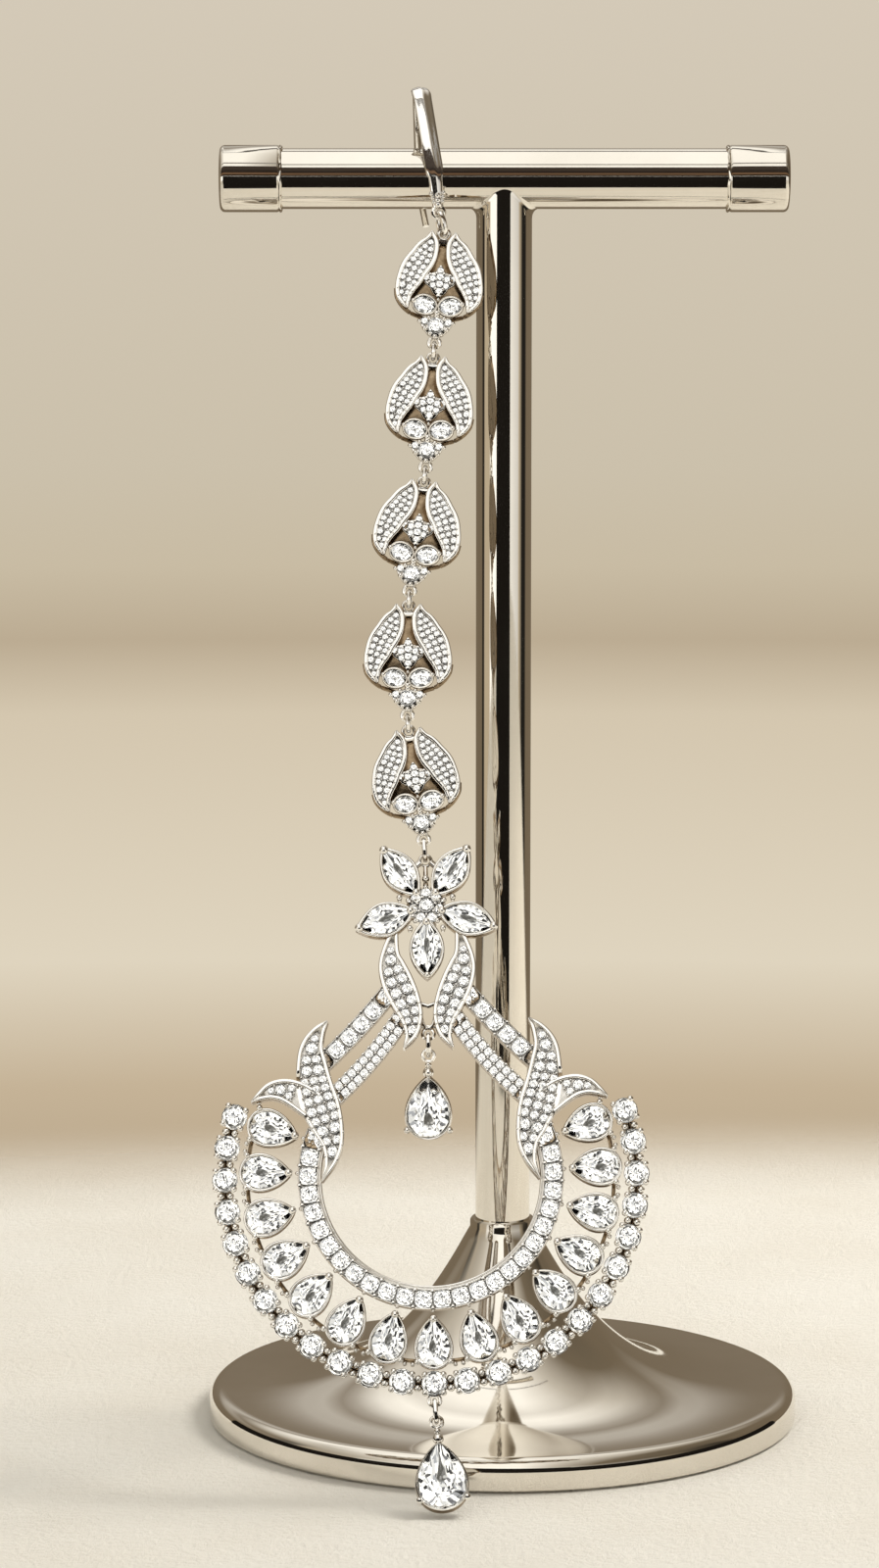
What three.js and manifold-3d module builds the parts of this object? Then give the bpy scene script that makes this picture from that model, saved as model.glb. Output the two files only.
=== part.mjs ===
// A maang tikka (forehead jewel) hooked over a T-bar display stand, its lowest drop resting in front of the base.
// Millimetres, +Z up, +X to the viewer's right, -Y towards the viewer.
// The origin is the centre of the base's flat underside.
import * as THREE from "three";
import { mergeVertices } from "three/addons/utils/BufferGeometryUtils.js";
import Module from "manifold-3d";

const wasm = await Module();
wasm.setup();

// Stand
const BASE_RADIUS = 33.6;
const BASE_EDGE_HEIGHT = 3.7;
const BASE_EDGE_BEVEL = 0.7;
const FLARE_HEIGHT = 18.3;
const FLARE_POWER = 3;
const COLLAR_RADIUS = 3.7;
const COLLAR_HEIGHT = 0.9;
const POST_RADIUS = 3.1;
const BAR_RADIUS = 3.35;
const BAR_LENGTH = 63.2;
const CAP_RADIUS = 3.7;
const CAP_LENGTH = 6.7;
const CAP_BEVEL = 0.45;
const ROUND_SIDES = 28;

// Wire, eyes and jump rings
const WIRE_RADIUS = 0.22;
const EYE_HOLE_RADIUS = 0.46;
const EYE_RIM = 0.28;
const EYE_THICKNESS = 0.7;
const EYE_SIDES = 10;
const WIRE_SIDES = 5;
const RING_SIDES = 12;
const EYE_SPACING = 0.3;
const EYE_RADIUS = EYE_HOLE_RADIUS + EYE_RIM;
const RING_DROP = 2 * EYE_RADIUS + EYE_SPACING;
const HOOK_RING_DROP = RING_DROP + 0.8;
const PENDANT_RING_DROP = RING_DROP + 0.6;
const DROP_LINK_DROP = RING_DROP + 0.6;

// Hook
const HOOK_THICKNESS = 0.84;
const HOOK_WIDTH = 1.8;
const HOOK_TAIL_WIDTH = 0.7;
const HOOK_CLEARANCE = 0.22;
const HOOK_TOP_RADIUS = 1.65;
const HOOK_RISE = 8.1;
const HOOK_TAIL = 5.2;
const HOOK_EYE_BELOW_BAR = 0.5;
const HOOK_TURN = 13;
const HOOK_X = -7.3;

// Chain link
const LINK_HALF_WIDTH = 5.05;
const LINK_LEAF_HEIGHT = 8.4;
const LINK_FOOT_SHARE = 1.24;
const LINK_FOOT_RADIUS = 1.2;
const LINK_EYE_SINK = 0.076;
const LINK_DROP = LINK_LEAF_HEIGHT * LINK_FOOT_SHARE + LINK_FOOT_RADIUS + EYE_HOLE_RADIUS - LINK_EYE_SINK;
const LINK_FRONT = 0.65;
const LINK_BACK = 0.45;
const LINK_RIM = 0.28;

// Pendant: a crescent under a flower, measured from the crescent's centre
const BAND_RADIUS = 13.05;
const BAND_WIDTH = 2.45;
const BAND_END = 113;
const FLOWER_HEIGHT = 29.5;
const PETAL_REACH = 8.1;
const PETAL_WIDTH = 3.8;
const PETAL_START = 1.3;
const PETAL_COUNT = 5;
const FLOWER_CUP_RADIUS = 1.6;
const TOP_EYE_ABOVE_FLOWER = 5.3;
const PEAR_COUNT = 15;
const PEAR_PITCH = 15.4;
const PEAR_LENGTH = 5.7;
const PEAR_WIDTH = 4.15;
const PEAR_GAP = 0.65;
const ROW_COUNT = 25;
const ROW_PITCH = 9;
const ROW_CUP_RADIUS = 1.25;
const ROW_GAP = 0.25;
const ARM_WIDTH = 2.1;
const RIM = 0.26;
const RECESS = 0.35;
const FRAME_BACK = 0.7;
const BAND_FRONT = 0.7;
const RELIEF_FRONT = 1.2;
const PETAL_FRONT = 1.6;
const STONE_WALL = 0.24;
const STONE_CLEARANCE = 0.08;
const STONE_SIDES = 10;

// Drops
const CENTRE_DROP_LENGTH = 6.9;
const CENTRE_DROP_WIDTH = 5.1;
const LOWER_DROP_LENGTH = 7.4;
const LOWER_DROP_WIDTH = 5.6;
const DROP_NECK = 1.5;
const DROP_FLOOR_GAP = 0.3;
const DROP_GIRDLE = -0.3;
const DROP_CROWN = 0.95;
const DROP_PAVILION = 1.7;

// How the pieces hang, in degrees: lean brings a piece's foot forward, sway moves it to the left, turn spins it.
const HOOK_HANG = { lean: 0, sway: -5.5, turn: HOOK_TURN };
const HOOK_RING_HANG = { lean: 6, sway: -13, turn: 20 };
const LINK_HANGS = [
  { lean: 8, sway: 5, turn: 0 },
  { lean: 9, sway: 4, turn: 0 },
  { lean: 10, sway: 7.5, turn: 0 },
  { lean: 11, sway: 0.5, turn: 0 },
  { lean: 12, sway: -8, turn: 0 },
];
const PENDANT_HANG = { lean: 20, sway: -1, turn: 0 };
const CENTRE_DROP_HANG = { lean: 4, sway: 0, turn: 0 };
const LOWER_DROP_HANG = { lean: 30, sway: -5, turn: 0 };

// Sections of the leaf-shaped pieces: across and up place the middle, half is half the width there.
// Shares of LINK_HALF_WIDTH across and half, of LINK_LEAF_HEIGHT up.
const LINK_LEAF = [
  { across: 0.287, up: 0.014, half: 0.024 },
  { across: 0.238, up: -0.113, half: 0.149 },
  { across: 0.301, up: -0.242, half: 0.248 },
  { across: 0.41, up: -0.365, half: 0.287 },
  { across: 0.568, up: -0.47, half: 0.307 },
  { across: 0.653, up: -0.595, half: 0.287 },
  { across: 0.725, up: -0.714, half: 0.242 },
  { across: 0.749, up: -0.833, half: 0.182 },
  { across: 0.703, up: -0.94, half: 0.099 },
  { across: 0.653, up: -1, half: 0.024 },
];
// Shares of FLOWER_HEIGHT.
const FLOWER_LEAF = [
  { across: 0.117, up: 0.925, half: 0.012 },
  { across: 0.134, up: 0.834, half: 0.033 },
  { across: 0.13, up: 0.78, half: 0.05 },
  { across: 0.11, up: 0.719, half: 0.058 },
  { across: 0.083, up: 0.654, half: 0.055 },
  { across: 0.062, up: 0.593, half: 0.044 },
  { across: 0.062, up: 0.529, half: 0.025 },
  { across: 0.09, up: 0.473, half: 0.004 },
];
// Shares of BAND_RADIUS.
const SCROLL_HORN = [
  { across: 0.835, up: 1.307, half: 0.008 },
  { across: 0.912, up: 1.215, half: 0.057 },
  { across: 0.969, up: 1.08, half: 0.1 },
  { across: 0.966, up: 0.92, half: 0.132 },
  { across: 0.943, up: 0.751, half: 0.153 },
  { across: 0.897, up: 0.59, half: 0.16 },
  { across: 0.843, up: 0.429, half: 0.134 },
  { across: 0.806, up: 0.276, half: 0.09 },
  { across: 0.826, up: 0.123, half: 0.048 },
  { across: 0.897, up: -0.031, half: 0.008 },
];
const SCROLL_LOBE = [
  { across: 1.471, up: 0.64, half: 0.008 },
  { across: 1.395, up: 0.69, half: 0.04 },
  { across: 1.303, up: 0.732, half: 0.073 },
  { across: 1.195, up: 0.732, half: 0.097 },
  { across: 1.08, up: 0.686, half: 0.115 },
  { across: 0.966, up: 0.605, half: 0.12 },
];
// Each arm runs from a point beside the flower's leaf (shares of FLOWER_HEIGHT) to one under the scroll
// (shares of BAND_RADIUS), and bows by a share of its length.
const ARMS = [
  { fromAcross: 0.135, fromUp: 0.693, toAcross: 0.9, toUp: 0.94, bow: 0.02 },
  { fromAcross: 0.095, fromUp: 0.592, toAcross: 0.84, toUp: 0.63, bow: 0.035 },
];

// Finishes
const polishedSilver = () => new THREE.MeshStandardMaterial({ color: 0xe4e0d8, roughness: 0.12, metalness: 1 });
const crystal = () => new THREE.MeshStandardMaterial({ color: 0xf2f4f6, roughness: 0.03, metalness: 0 });
const standMetal = () => new THREE.MeshStandardMaterial({ color: 0xcbc2b2, roughness: 0.08, metalness: 1 });

const radians = THREE.MathUtils.degToRad;

// A closed geometry as a solid, facing outwards.
function solidOf(geometry) {
  const bare = geometry.index ? geometry.clone() : geometry;
  bare.deleteAttribute("normal");
  bare.deleteAttribute("uv");
  const merged = mergeVertices(bare, 1e-4);
  const corners = merged.attributes.position.array;
  const make = (triangles) =>
    new wasm.Manifold(new wasm.Mesh({ numProp: 3, vertProperties: corners, triVerts: triangles }));
  const triangles = new Uint32Array(merged.index.array);
  const made = make(triangles);
  return made.volume() > 0 ? made : make(triangles.map((v, i) => triangles[i - (i % 3) + 2 - (i % 3)]));
}

function joined(solids) {
  return solids.reduce((all, one) => all.add(one));
}

// A named mesh from a solid.
function piece(name, solid, material) {
  const made = solid.getMesh();
  const geometry = new THREE.BufferGeometry();
  geometry.setAttribute("position", new THREE.BufferAttribute(new Float32Array(made.vertProperties), 3));
  geometry.setIndex(new THREE.BufferAttribute(new Uint32Array(made.triVerts), 1));
  geometry.computeVertexNormals();
  const mesh = new THREE.Mesh(geometry, material);
  mesh.name = name;
  return mesh;
}

// A flat outline of (across, up) points as a plate, from front to back along Y.
function plate(outline, front, back, hole) {
  const shape = new THREE.Shape(outline.map(([x, z]) => new THREE.Vector2(x, z)));
  if (hole) shape.holes.push(new THREE.Path(hole.map(([x, z]) => new THREE.Vector2(x, z))));
  const geometry = new THREE.ExtrudeGeometry(shape, { depth: back - front, bevelEnabled: false });
  geometry.rotateX(Math.PI / 2);
  geometry.translate(0, back, 0);
  return solidOf(geometry);
}

function circle(radius, x, z, sides) {
  return Array.from({ length: sides }, (_, i) => {
    const angle = (i / sides) * 2 * Math.PI;
    return [x + radius * Math.cos(angle), z + radius * Math.sin(angle)];
  });
}

// A washer whose hole runs front to back, for a jump ring to pass through.
function eye(x, z) {
  const half = EYE_THICKNESS / 2;
  return plate(circle(EYE_RADIUS, x, z, EYE_SIDES), -half, half, circle(EYE_HOLE_RADIUS, x, z, EYE_SIDES));
}

// A jump ring that hangs from its own origin, edge-on to the viewer.
function jumpRing(drop) {
  const geometry = new THREE.TorusGeometry(RING_DROP / 2, WIRE_RADIUS, WIRE_SIDES, RING_SIDES);
  geometry.rotateY(Math.PI / 2);
  geometry.scale(1, 1, drop / RING_DROP);
  geometry.translate(0, 0, -drop / 2);
  return solidOf(geometry);
}

// Smooth sections through a table of rows.
function sections(rows, count) {
  const curve = new THREE.CatmullRomCurve3(rows.map(({ x, z, half }) => new THREE.Vector3(x, z, half)));
  return curve.getPoints(count).map((point) => ({ x: point.x, z: point.y, half: point.z }));
}

// The outline round a run of sections, taken in by rim.
function ribbon(run, rim = 0) {
  const kept = run.filter(({ half }) => half > rim + (rim > 0 ? rim * 0.3 : 0));
  const sides = [[], []];
  kept.forEach(({ x, z, half }, i) => {
    const before = kept[Math.max(i - 1, 0)];
    const after = kept[Math.min(i + 1, kept.length - 1)];
    const along = Math.hypot(after.x - before.x, after.z - before.z);
    const across = [(after.z - before.z) / along, -(after.x - before.x) / along];
    sides[0].push([x + across[0] * (half - rim), z + across[1] * (half - rim)]);
    sides[1].unshift([x - across[0] * (half - rim), z - across[1] * (half - rim)]);
  });
  return [...sides[0], ...sides[1]];
}

// A raised-rim strip: a plate with a tray sunk in its front, where the small stones sit.
function tray(run, front, back, rim) {
  return plate(ribbon(run), -front, back).subtract(plate(ribbon(run, rim), -front - 1, -front + RECESS));
}

function scaled(rows, width, height) {
  return rows.map(({ across, up, half }) => ({ x: across * width, z: up * height, half: half * width }));
}

// Both mirror images of a solid about the middle plane.
function pair(solid) {
  return [solid, solid.mirror([1, 0, 0])];
}

// Points along a circle about the crescent's centre, by degrees from straight down.
function onCircle(radius, degrees) {
  return [radius * Math.sin(radians(degrees)), -radius * Math.cos(radians(degrees))];
}

function arcRun(radius, half, end, count) {
  return Array.from({ length: count + 1 }, (_, i) => {
    const [x, z] = onCircle(radius, -end + (2 * end * i) / count);
    return { x, z, half };
  });
}

// Pear outline: tip up at (0, length), round end at the origin.
function pear(length, width, inset, sides) {
  return Array.from({ length: sides }, (_, i) => {
    const t = (i / sides) * 2 * Math.PI;
    const belly = Math.sin(t) * Math.abs(Math.sin(t / 2)) ** 0.6;
    return [(-belly * (width / 2 - inset)) / 0.83, length / 2 + (length / 2 - inset) * Math.cos(t)];
  });
}

// Marquise outline: two arcs from the origin up to (0, length).
function marquise(length, width, inset, sides) {
  return Array.from({ length: sides }, (_, i) => {
    const t = (i / sides) * 2 * Math.PI;
    const along = Math.sin(t / 2) ** 2 * (length - 4 * inset) + 2 * inset;
    const share = Math.sin((Math.PI * (along - 2 * inset)) / (length - 4 * inset)) ** 0.8;
    return [(t < Math.PI ? 1 : -1) * share * (width / 2 - inset), along];
  });
}

// Turns outline points by degrees and moves them.
function placed(outline, degrees, x, z) {
  const cos = Math.cos(radians(degrees));
  const sin = Math.sin(radians(degrees));
  return outline.map(([a, b]) => [x + a * cos - b * sin, z + a * sin + b * cos]);
}

// A faceted cut stone from its girdle outline: a table and a crown in front, a pavilion behind.
function cutStone(outline, girdle, crown, pavilion) {
  const middle = [0, 1].map((k) => outline.reduce((sum, point) => sum + point[k], 0) / outline.length);
  const rings = [
    { share: 0.08, y: girdle + pavilion },
    { share: 1, y: girdle + 0.12 },
    { share: 1, y: girdle },
    { share: 0.58, y: girdle - crown },
  ];
  const sides = outline.length;
  const corners = [];
  for (const { share, y } of rings)
    for (const [x, z] of outline)
      corners.push(middle[0] + (x - middle[0]) * share, y, middle[1] + (z - middle[1]) * share);
  const triangles = [];
  for (let ring = 0; ring + 1 < rings.length; ring++)
    for (let i = 0; i < sides; i++) {
      const a = ring * sides + i;
      const b = ring * sides + ((i + 1) % sides);
      triangles.push(a, b, a + sides, b, b + sides, a + sides);
    }
  const last = (rings.length - 1) * sides;
  for (let i = 1; i + 1 < sides; i++) triangles.push(0, i + 1, i, last, last + i, last + i + 1);
  const geometry = new THREE.BufferGeometry();
  geometry.setAttribute("position", new THREE.BufferAttribute(new Float32Array(corners), 3));
  geometry.setIndex(triangles);
  return solidOf(geometry);
}

// A round stone and the cup it is set in, as one body.
function cuppedStone(x, z, radius, front, back, sides) {
  const profile = [
    [0, -back],
    [radius, -back],
    [radius, front],
    [radius * 0.55, front + radius * 0.5],
    [0, front + radius * 0.5],
  ];
  const geometry = new THREE.LatheGeometry(profile.map(([r, y]) => new THREE.Vector2(r, y)), sides);
  geometry.scale(1, -1, 1);
  geometry.translate(x, 0, z);
  return solidOf(geometry);
}

// A claw's rounded post, seen from the front as a bead.
function claw(x, z, radius, front, back) {
  const geometry = new THREE.CylinderGeometry(radius, radius * 0.6, front + back, 6);
  geometry.translate(x, (back - front) / 2, z);
  return solidOf(geometry);
}

// A body of revolution about Z, from (radius, height) points.
function turned(profile) {
  const geometry = new THREE.LatheGeometry(profile.map(([r, z]) => new THREE.Vector2(r, z)), ROUND_SIDES);
  geometry.rotateX(Math.PI / 2);
  return solidOf(geometry);
}

// Where a piece hangs: the group stands at its upper eye, and foot is the point that the next piece hangs from.
function hung(from, { lean, sway, turn }, drop) {
  const group = new THREE.Group();
  group.position.copy(from);
  group.rotation.set(-radians(lean), radians(sway), radians(turn));
  const foot = new THREE.Vector3(0, 0, -drop).applyEuler(group.rotation).add(from);
  return { group, foot };
}

function between(a, b) {
  return { lean: (a.lean + b.lean) / 2, sway: (a.sway + b.sway) / 2, turn: 0 };
}

// Stand base: a disc with a bevelled edge, flaring up to a collar.
function baseSolid() {
  const flareFoot = BASE_RADIUS - 2 * BASE_EDGE_BEVEL;
  const steps = 8;
  const flare = Array.from({ length: steps + 1 }, (_, i) => {
    const share = i / steps;
    return [flareFoot - share * (flareFoot - COLLAR_RADIUS), BASE_EDGE_HEIGHT + FLARE_HEIGHT * share ** FLARE_POWER];
  });
  const collarTop = BASE_EDGE_HEIGHT + FLARE_HEIGHT + COLLAR_HEIGHT;
  return turned([
    [0, 0],
    [BASE_RADIUS, 0],
    [BASE_RADIUS, BASE_EDGE_HEIGHT - BASE_EDGE_BEVEL],
    [BASE_RADIUS - BASE_EDGE_BEVEL, BASE_EDGE_HEIGHT],
    ...flare,
    [COLLAR_RADIUS, collarTop],
    [0, collarTop],
  ]);
}

// Post and crossbar, welded into one tee.
function teeSolid(barHeight) {
  const postFoot = BASE_EDGE_HEIGHT + FLARE_HEIGHT + COLLAR_HEIGHT;
  const post = new THREE.CylinderGeometry(POST_RADIUS, POST_RADIUS, barHeight - postFoot, ROUND_SIDES);
  post.rotateX(Math.PI / 2);
  post.translate(0, 0, (barHeight + postFoot) / 2);
  const bar = new THREE.CylinderGeometry(BAR_RADIUS, BAR_RADIUS, BAR_LENGTH - 2 * CAP_LENGTH, ROUND_SIDES);
  bar.rotateZ(Math.PI / 2);
  bar.translate(0, 0, barHeight);
  return solidOf(post).add(solidOf(bar));
}

function capSolid(barHeight, side) {
  const profile = [
    [0, 0],
    [CAP_RADIUS - CAP_BEVEL, 0],
    [CAP_RADIUS, CAP_BEVEL],
    [CAP_RADIUS, CAP_LENGTH - CAP_BEVEL],
    [CAP_RADIUS - CAP_BEVEL, CAP_LENGTH],
    [0, CAP_LENGTH],
  ];
  const geometry = new THREE.LatheGeometry(profile.map(([r, y]) => new THREE.Vector2(r, y)), ROUND_SIDES);
  geometry.rotateZ((-side * Math.PI) / 2);
  geometry.translate(side * (BAR_LENGTH / 2 - CAP_LENGTH), 0, barHeight);
  return solidOf(geometry);
}

// The hook's middle line in its own plane, as (back, up) from its eye: up the front leg, over the top, down the tail.
const HOOK_REACH =
  BAR_RADIUS / Math.cos(radians(HOOK_TURN)) + HOOK_CLEARANCE + HOOK_THICKNESS / 2;
const HOOK_BAR_UP = BAR_RADIUS + HOOK_EYE_BELOW_BAR;

function hookLine() {
  const flank = Math.asin((HOOK_REACH - HOOK_TOP_RADIUS) / HOOK_RISE);
  const arc = (centreUp, radius, from, to, steps) =>
    Array.from({ length: steps + 1 }, (_, i) => {
      const angle = from + ((to - from) * i) / steps;
      return [HOOK_REACH - radius * Math.cos(angle), centreUp + radius * Math.sin(angle)];
    });
  return [
    [0, EYE_HOLE_RADIUS],
    ...arc(HOOK_BAR_UP, HOOK_REACH, 0, flank, 2),
    ...arc(HOOK_BAR_UP + HOOK_RISE, HOOK_TOP_RADIUS, flank, Math.PI - flank, 10),
    ...arc(HOOK_BAR_UP, HOOK_REACH, Math.PI - flank, Math.PI, 2),
    [2 * HOOK_REACH - HOOK_TAIL * 0.02, HOOK_BAR_UP - HOOK_TAIL * 0.35],
    [2 * HOOK_REACH - HOOK_TAIL * 0.12, HOOK_BAR_UP - HOOK_TAIL * 0.7],
    [2 * HOOK_REACH - HOOK_TAIL * 0.26, HOOK_BAR_UP - HOOK_TAIL],
  ];
}

// A stretch of the hook's line as a strip of the given width across X.
function hookStrip(line, width) {
  const outline = ribbon(line.map(([x, z]) => ({ x, z, half: HOOK_THICKNESS / 2 })));
  return plate(outline, -width / 2, width / 2).rotate([0, 0, 90]);
}

function hookSolid() {
  const line = hookLine();
  const broad = line.slice(0, Math.ceil(line.length / 2) + 1);
  return joined([hookStrip(broad, HOOK_WIDTH), hookStrip(line, HOOK_TAIL_WIDTH), eye(0, 0)]);
}

// Chain link: two leaves round a small spray of stones, with an eye at each end.
function linkSolid() {
  const leaf = tray(sections(scaled(LINK_LEAF, LINK_HALF_WIDTH, LINK_LEAF_HEIGHT), 7), LINK_FRONT, LINK_BACK, LINK_RIM);
  const stone = (share, up, radius) =>
    cuppedStone(share * LINK_HALF_WIDTH, up * LINK_LEAF_HEIGHT, radius, LINK_FRONT, LINK_BACK, 6);
  const leafFoot = LINK_LEAF[LINK_LEAF.length - 2];
  const tieOutline = [
    [0, -1.0 * LINK_LEAF_HEIGHT],
    [0.92 * leafFoot.across * LINK_HALF_WIDTH, (leafFoot.up - 0.02) * LINK_LEAF_HEIGHT],
    [0.92 * leafFoot.across * LINK_HALF_WIDTH, (leafFoot.up - 0.09) * LINK_LEAF_HEIGHT],
    [0, -1.1 * LINK_LEAF_HEIGHT],
  ];
  const bridgeHalf = LINK_HALF_WIDTH * 0.45;
  const bridge = [
    [-bridgeHalf, -0.57 * LINK_LEAF_HEIGHT],
    [bridgeHalf, -0.57 * LINK_LEAF_HEIGHT],
    [bridgeHalf, -0.65 * LINK_LEAF_HEIGHT],
    [-bridgeHalf, -0.65 * LINK_LEAF_HEIGHT],
  ];
  const shoulderHalf = LINK_HALF_WIDTH * 0.2;
  const shoulderTop = -EYE_HOLE_RADIUS - 0.04;
  const shoulder = [
    [-shoulderHalf, shoulderTop],
    [shoulderHalf, shoulderTop],
    [shoulderHalf, shoulderTop - 0.5],
    [-shoulderHalf, shoulderTop - 0.5],
  ];
  const stem = EYE_RIM / 2;
  const spine = [
    [-stem, -0.6 * LINK_LEAF_HEIGHT],
    [stem, -0.6 * LINK_LEAF_HEIGHT],
    [stem, EYE_HOLE_RADIUS - LINK_DROP + EYE_RIM / 2],
    [-stem, EYE_HOLE_RADIUS - LINK_DROP + EYE_RIM / 2],
  ];
  return joined([
    ...pair(leaf),
    ...pair(plate(tieOutline, 0, LINK_BACK)),
    plate(bridge, 0, LINK_BACK),
    plate(shoulder, -EYE_THICKNESS / 2, LINK_BACK),
    plate(spine, 0, EYE_THICKNESS / 2),
    ...pair(stone(0.25, -0.585, 0.8)),
    stone(0, -0.72, 0.8),
    ...pair(stone(0.28, -0.955, 1.2)),
    stone(0, -LINK_FOOT_SHARE, LINK_FOOT_RADIUS),
    eye(0, 0),
    eye(0, -LINK_DROP),
  ]);
}

// Radii of the crescent's rings of stones, each from the one inside it.
const BAND_OUTER = BAND_RADIUS + BAND_WIDTH / 2;
const PEAR_TIP = BAND_OUTER + PEAR_GAP;
const PEAR_END = PEAR_TIP + PEAR_LENGTH;
const ROW_RADIUS = PEAR_END + ROW_GAP + ROW_CUP_RADIUS;
const LOWER_EYE_DEPTH = ROW_RADIUS + ROW_CUP_RADIUS + EYE_HOLE_RADIUS;
const TOP_EYE_HEIGHT = FLOWER_HEIGHT + TOP_EYE_ABOVE_FLOWER;
const CENTRE_EYE_HEIGHT = FLOWER_HEIGHT * 0.53;

function pearAngles() {
  return Array.from({ length: PEAR_COUNT }, (_, i) => (i - (PEAR_COUNT - 1) / 2) * PEAR_PITCH);
}

function pearOutline(degrees, inset, sides) {
  const [x, z] = onCircle(PEAR_END, degrees);
  return placed(pear(PEAR_LENGTH, PEAR_WIDTH, inset, sides), degrees, x, z);
}

function petalAngles() {
  return Array.from({ length: PETAL_COUNT }, (_, i) => 180 + (i * 360) / PETAL_COUNT);
}

function petalOutline(degrees, inset, sides) {
  const outline = marquise(PETAL_REACH - PETAL_START, PETAL_WIDTH, inset, sides);
  return placed(outline.map(([x, z]) => [x, z + PETAL_START]), degrees, 0, FLOWER_HEIGHT);
}

// The pendant's soldered metal, with a seat cut for each of its main stones.
function frameSolid() {
  const relief = (rows, size, count) => tray(sections(scaled(rows, size, size), count), RELIEF_FRONT, FRAME_BACK, RIM);
  const arm = ({ fromAcross, fromUp, toAcross, toUp, bow }) => {
    const a = [fromAcross * FLOWER_HEIGHT, fromUp * FLOWER_HEIGHT];
    const b = [toAcross * BAND_RADIUS, toUp * BAND_RADIUS];
    const run = [0, 0.5, 1].map((t) => {
      const lift = 4 * bow * t * (1 - t);
      return {
        x: a[0] + (b[0] - a[0]) * t + (b[1] - a[1]) * lift,
        z: a[1] + (b[1] - a[1]) * t - (b[0] - a[0]) * lift,
        half: ARM_WIDTH / 2,
      };
    });
    return tray(sections(run, 4), BAND_FRONT, FRAME_BACK, RIM);
  };
  const band = tray(arcRun(BAND_RADIUS, BAND_WIDTH / 2, BAND_END, 26), BAND_FRONT, FRAME_BACK, RIM);
  const pearEnd = (PEAR_PITCH * (PEAR_COUNT - 1)) / 2;
  const rail = plate(ribbon(arcRun(PEAR_END - PEAR_LENGTH * 0.07, 0.3, pearEnd, PEAR_COUNT - 1)), 0, FRAME_BACK);
  const settings = pearAngles().map((degrees) => plate(pearOutline(degrees, 0, STONE_SIDES), -BAND_FRONT, FRAME_BACK));
  const posts = pearAngles().map((degrees) => {
    const [x, z] = onCircle(BAND_OUTER + PEAR_GAP / 2, degrees);
    return claw(x, z, PEAR_GAP * 0.8, BAND_FRONT, FRAME_BACK);
  });
  const petals = petalAngles().map((degrees) => plate(petalOutline(degrees, 0, STONE_SIDES), -PETAL_FRONT, 0));
  const cup = plate(circle(FLOWER_CUP_RADIUS, 0, FLOWER_HEIGHT, 12), -PETAL_FRONT - 0.3, FRAME_BACK);
  const neckHalf = EYE_HOLE_RADIUS;
  const neck = plate(
    [
      [-neckHalf, FLOWER_HEIGHT],
      [neckHalf, FLOWER_HEIGHT],
      [neckHalf, TOP_EYE_HEIGHT - EYE_HOLE_RADIUS - EYE_RIM / 2],
      [-neckHalf, TOP_EYE_HEIGHT - EYE_HOLE_RADIUS - EYE_RIM / 2],
    ],
    -EYE_THICKNESS / 2,
    FRAME_BACK,
  );
  const tieHalf = FLOWER_HEIGHT * 0.03;
  const tie = plate(
    [
      [-tieHalf, CENTRE_EYE_HEIGHT + EYE_HOLE_RADIUS + EYE_RIM / 3],
      [tieHalf, CENTRE_EYE_HEIGHT + EYE_HOLE_RADIUS + EYE_RIM / 3],
      [tieHalf, FLOWER_HEIGHT * 0.65],
      [-tieHalf, FLOWER_HEIGHT * 0.65],
    ],
    -EYE_THICKNESS / 2,
    FRAME_BACK,
  );
  const metal = joined([
    band,
    rail,
    ...settings,
    ...posts,
    ...ARMS.flatMap((row) => pair(arm(row))),
    ...pair(relief(SCROLL_HORN, BAND_RADIUS, 10)),
    ...pair(relief(SCROLL_LOBE, BAND_RADIUS, 6)),
    ...pair(relief(FLOWER_LEAF, FLOWER_HEIGHT, 8)),
    ...petals,
    cup,
    neck,
    tie,
    eye(0, TOP_EYE_HEIGHT),
    eye(0, CENTRE_EYE_HEIGHT),
  ]);
  const seats = joined([
    ...pearAngles().map((degrees) => plate(pearOutline(degrees, STONE_WALL, STONE_SIDES), -3, 3)),
    ...petalAngles().map((degrees) => plate(petalOutline(degrees, STONE_WALL, STONE_SIDES), -3, 0.1)),
    plate(circle(FLOWER_CUP_RADIUS - STONE_WALL, 0, FLOWER_HEIGHT, 12), -3, 0),
  ]);
  return metal.subtract(seats);
}

// The outer row: cupped round stones on one rail, with an eye under the lowest.
function rowSolid() {
  const angles = Array.from({ length: ROW_COUNT }, (_, i) => (i - (ROW_COUNT - 1) / 2) * ROW_PITCH);
  const stones = angles.map((degrees) => {
    const [x, z] = onCircle(ROW_RADIUS, degrees);
    return cuppedStone(x, z, ROW_CUP_RADIUS, BAND_FRONT * 0.7, FRAME_BACK, 10);
  });
  const rail = plate(ribbon(arcRun(ROW_RADIUS, 0.45, angles[ROW_COUNT - 1], ROW_COUNT - 1)), -0.2, FRAME_BACK * 0.8);
  return joined([...stones, rail, eye(0, -LOWER_EYE_DEPTH)]);
}

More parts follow.
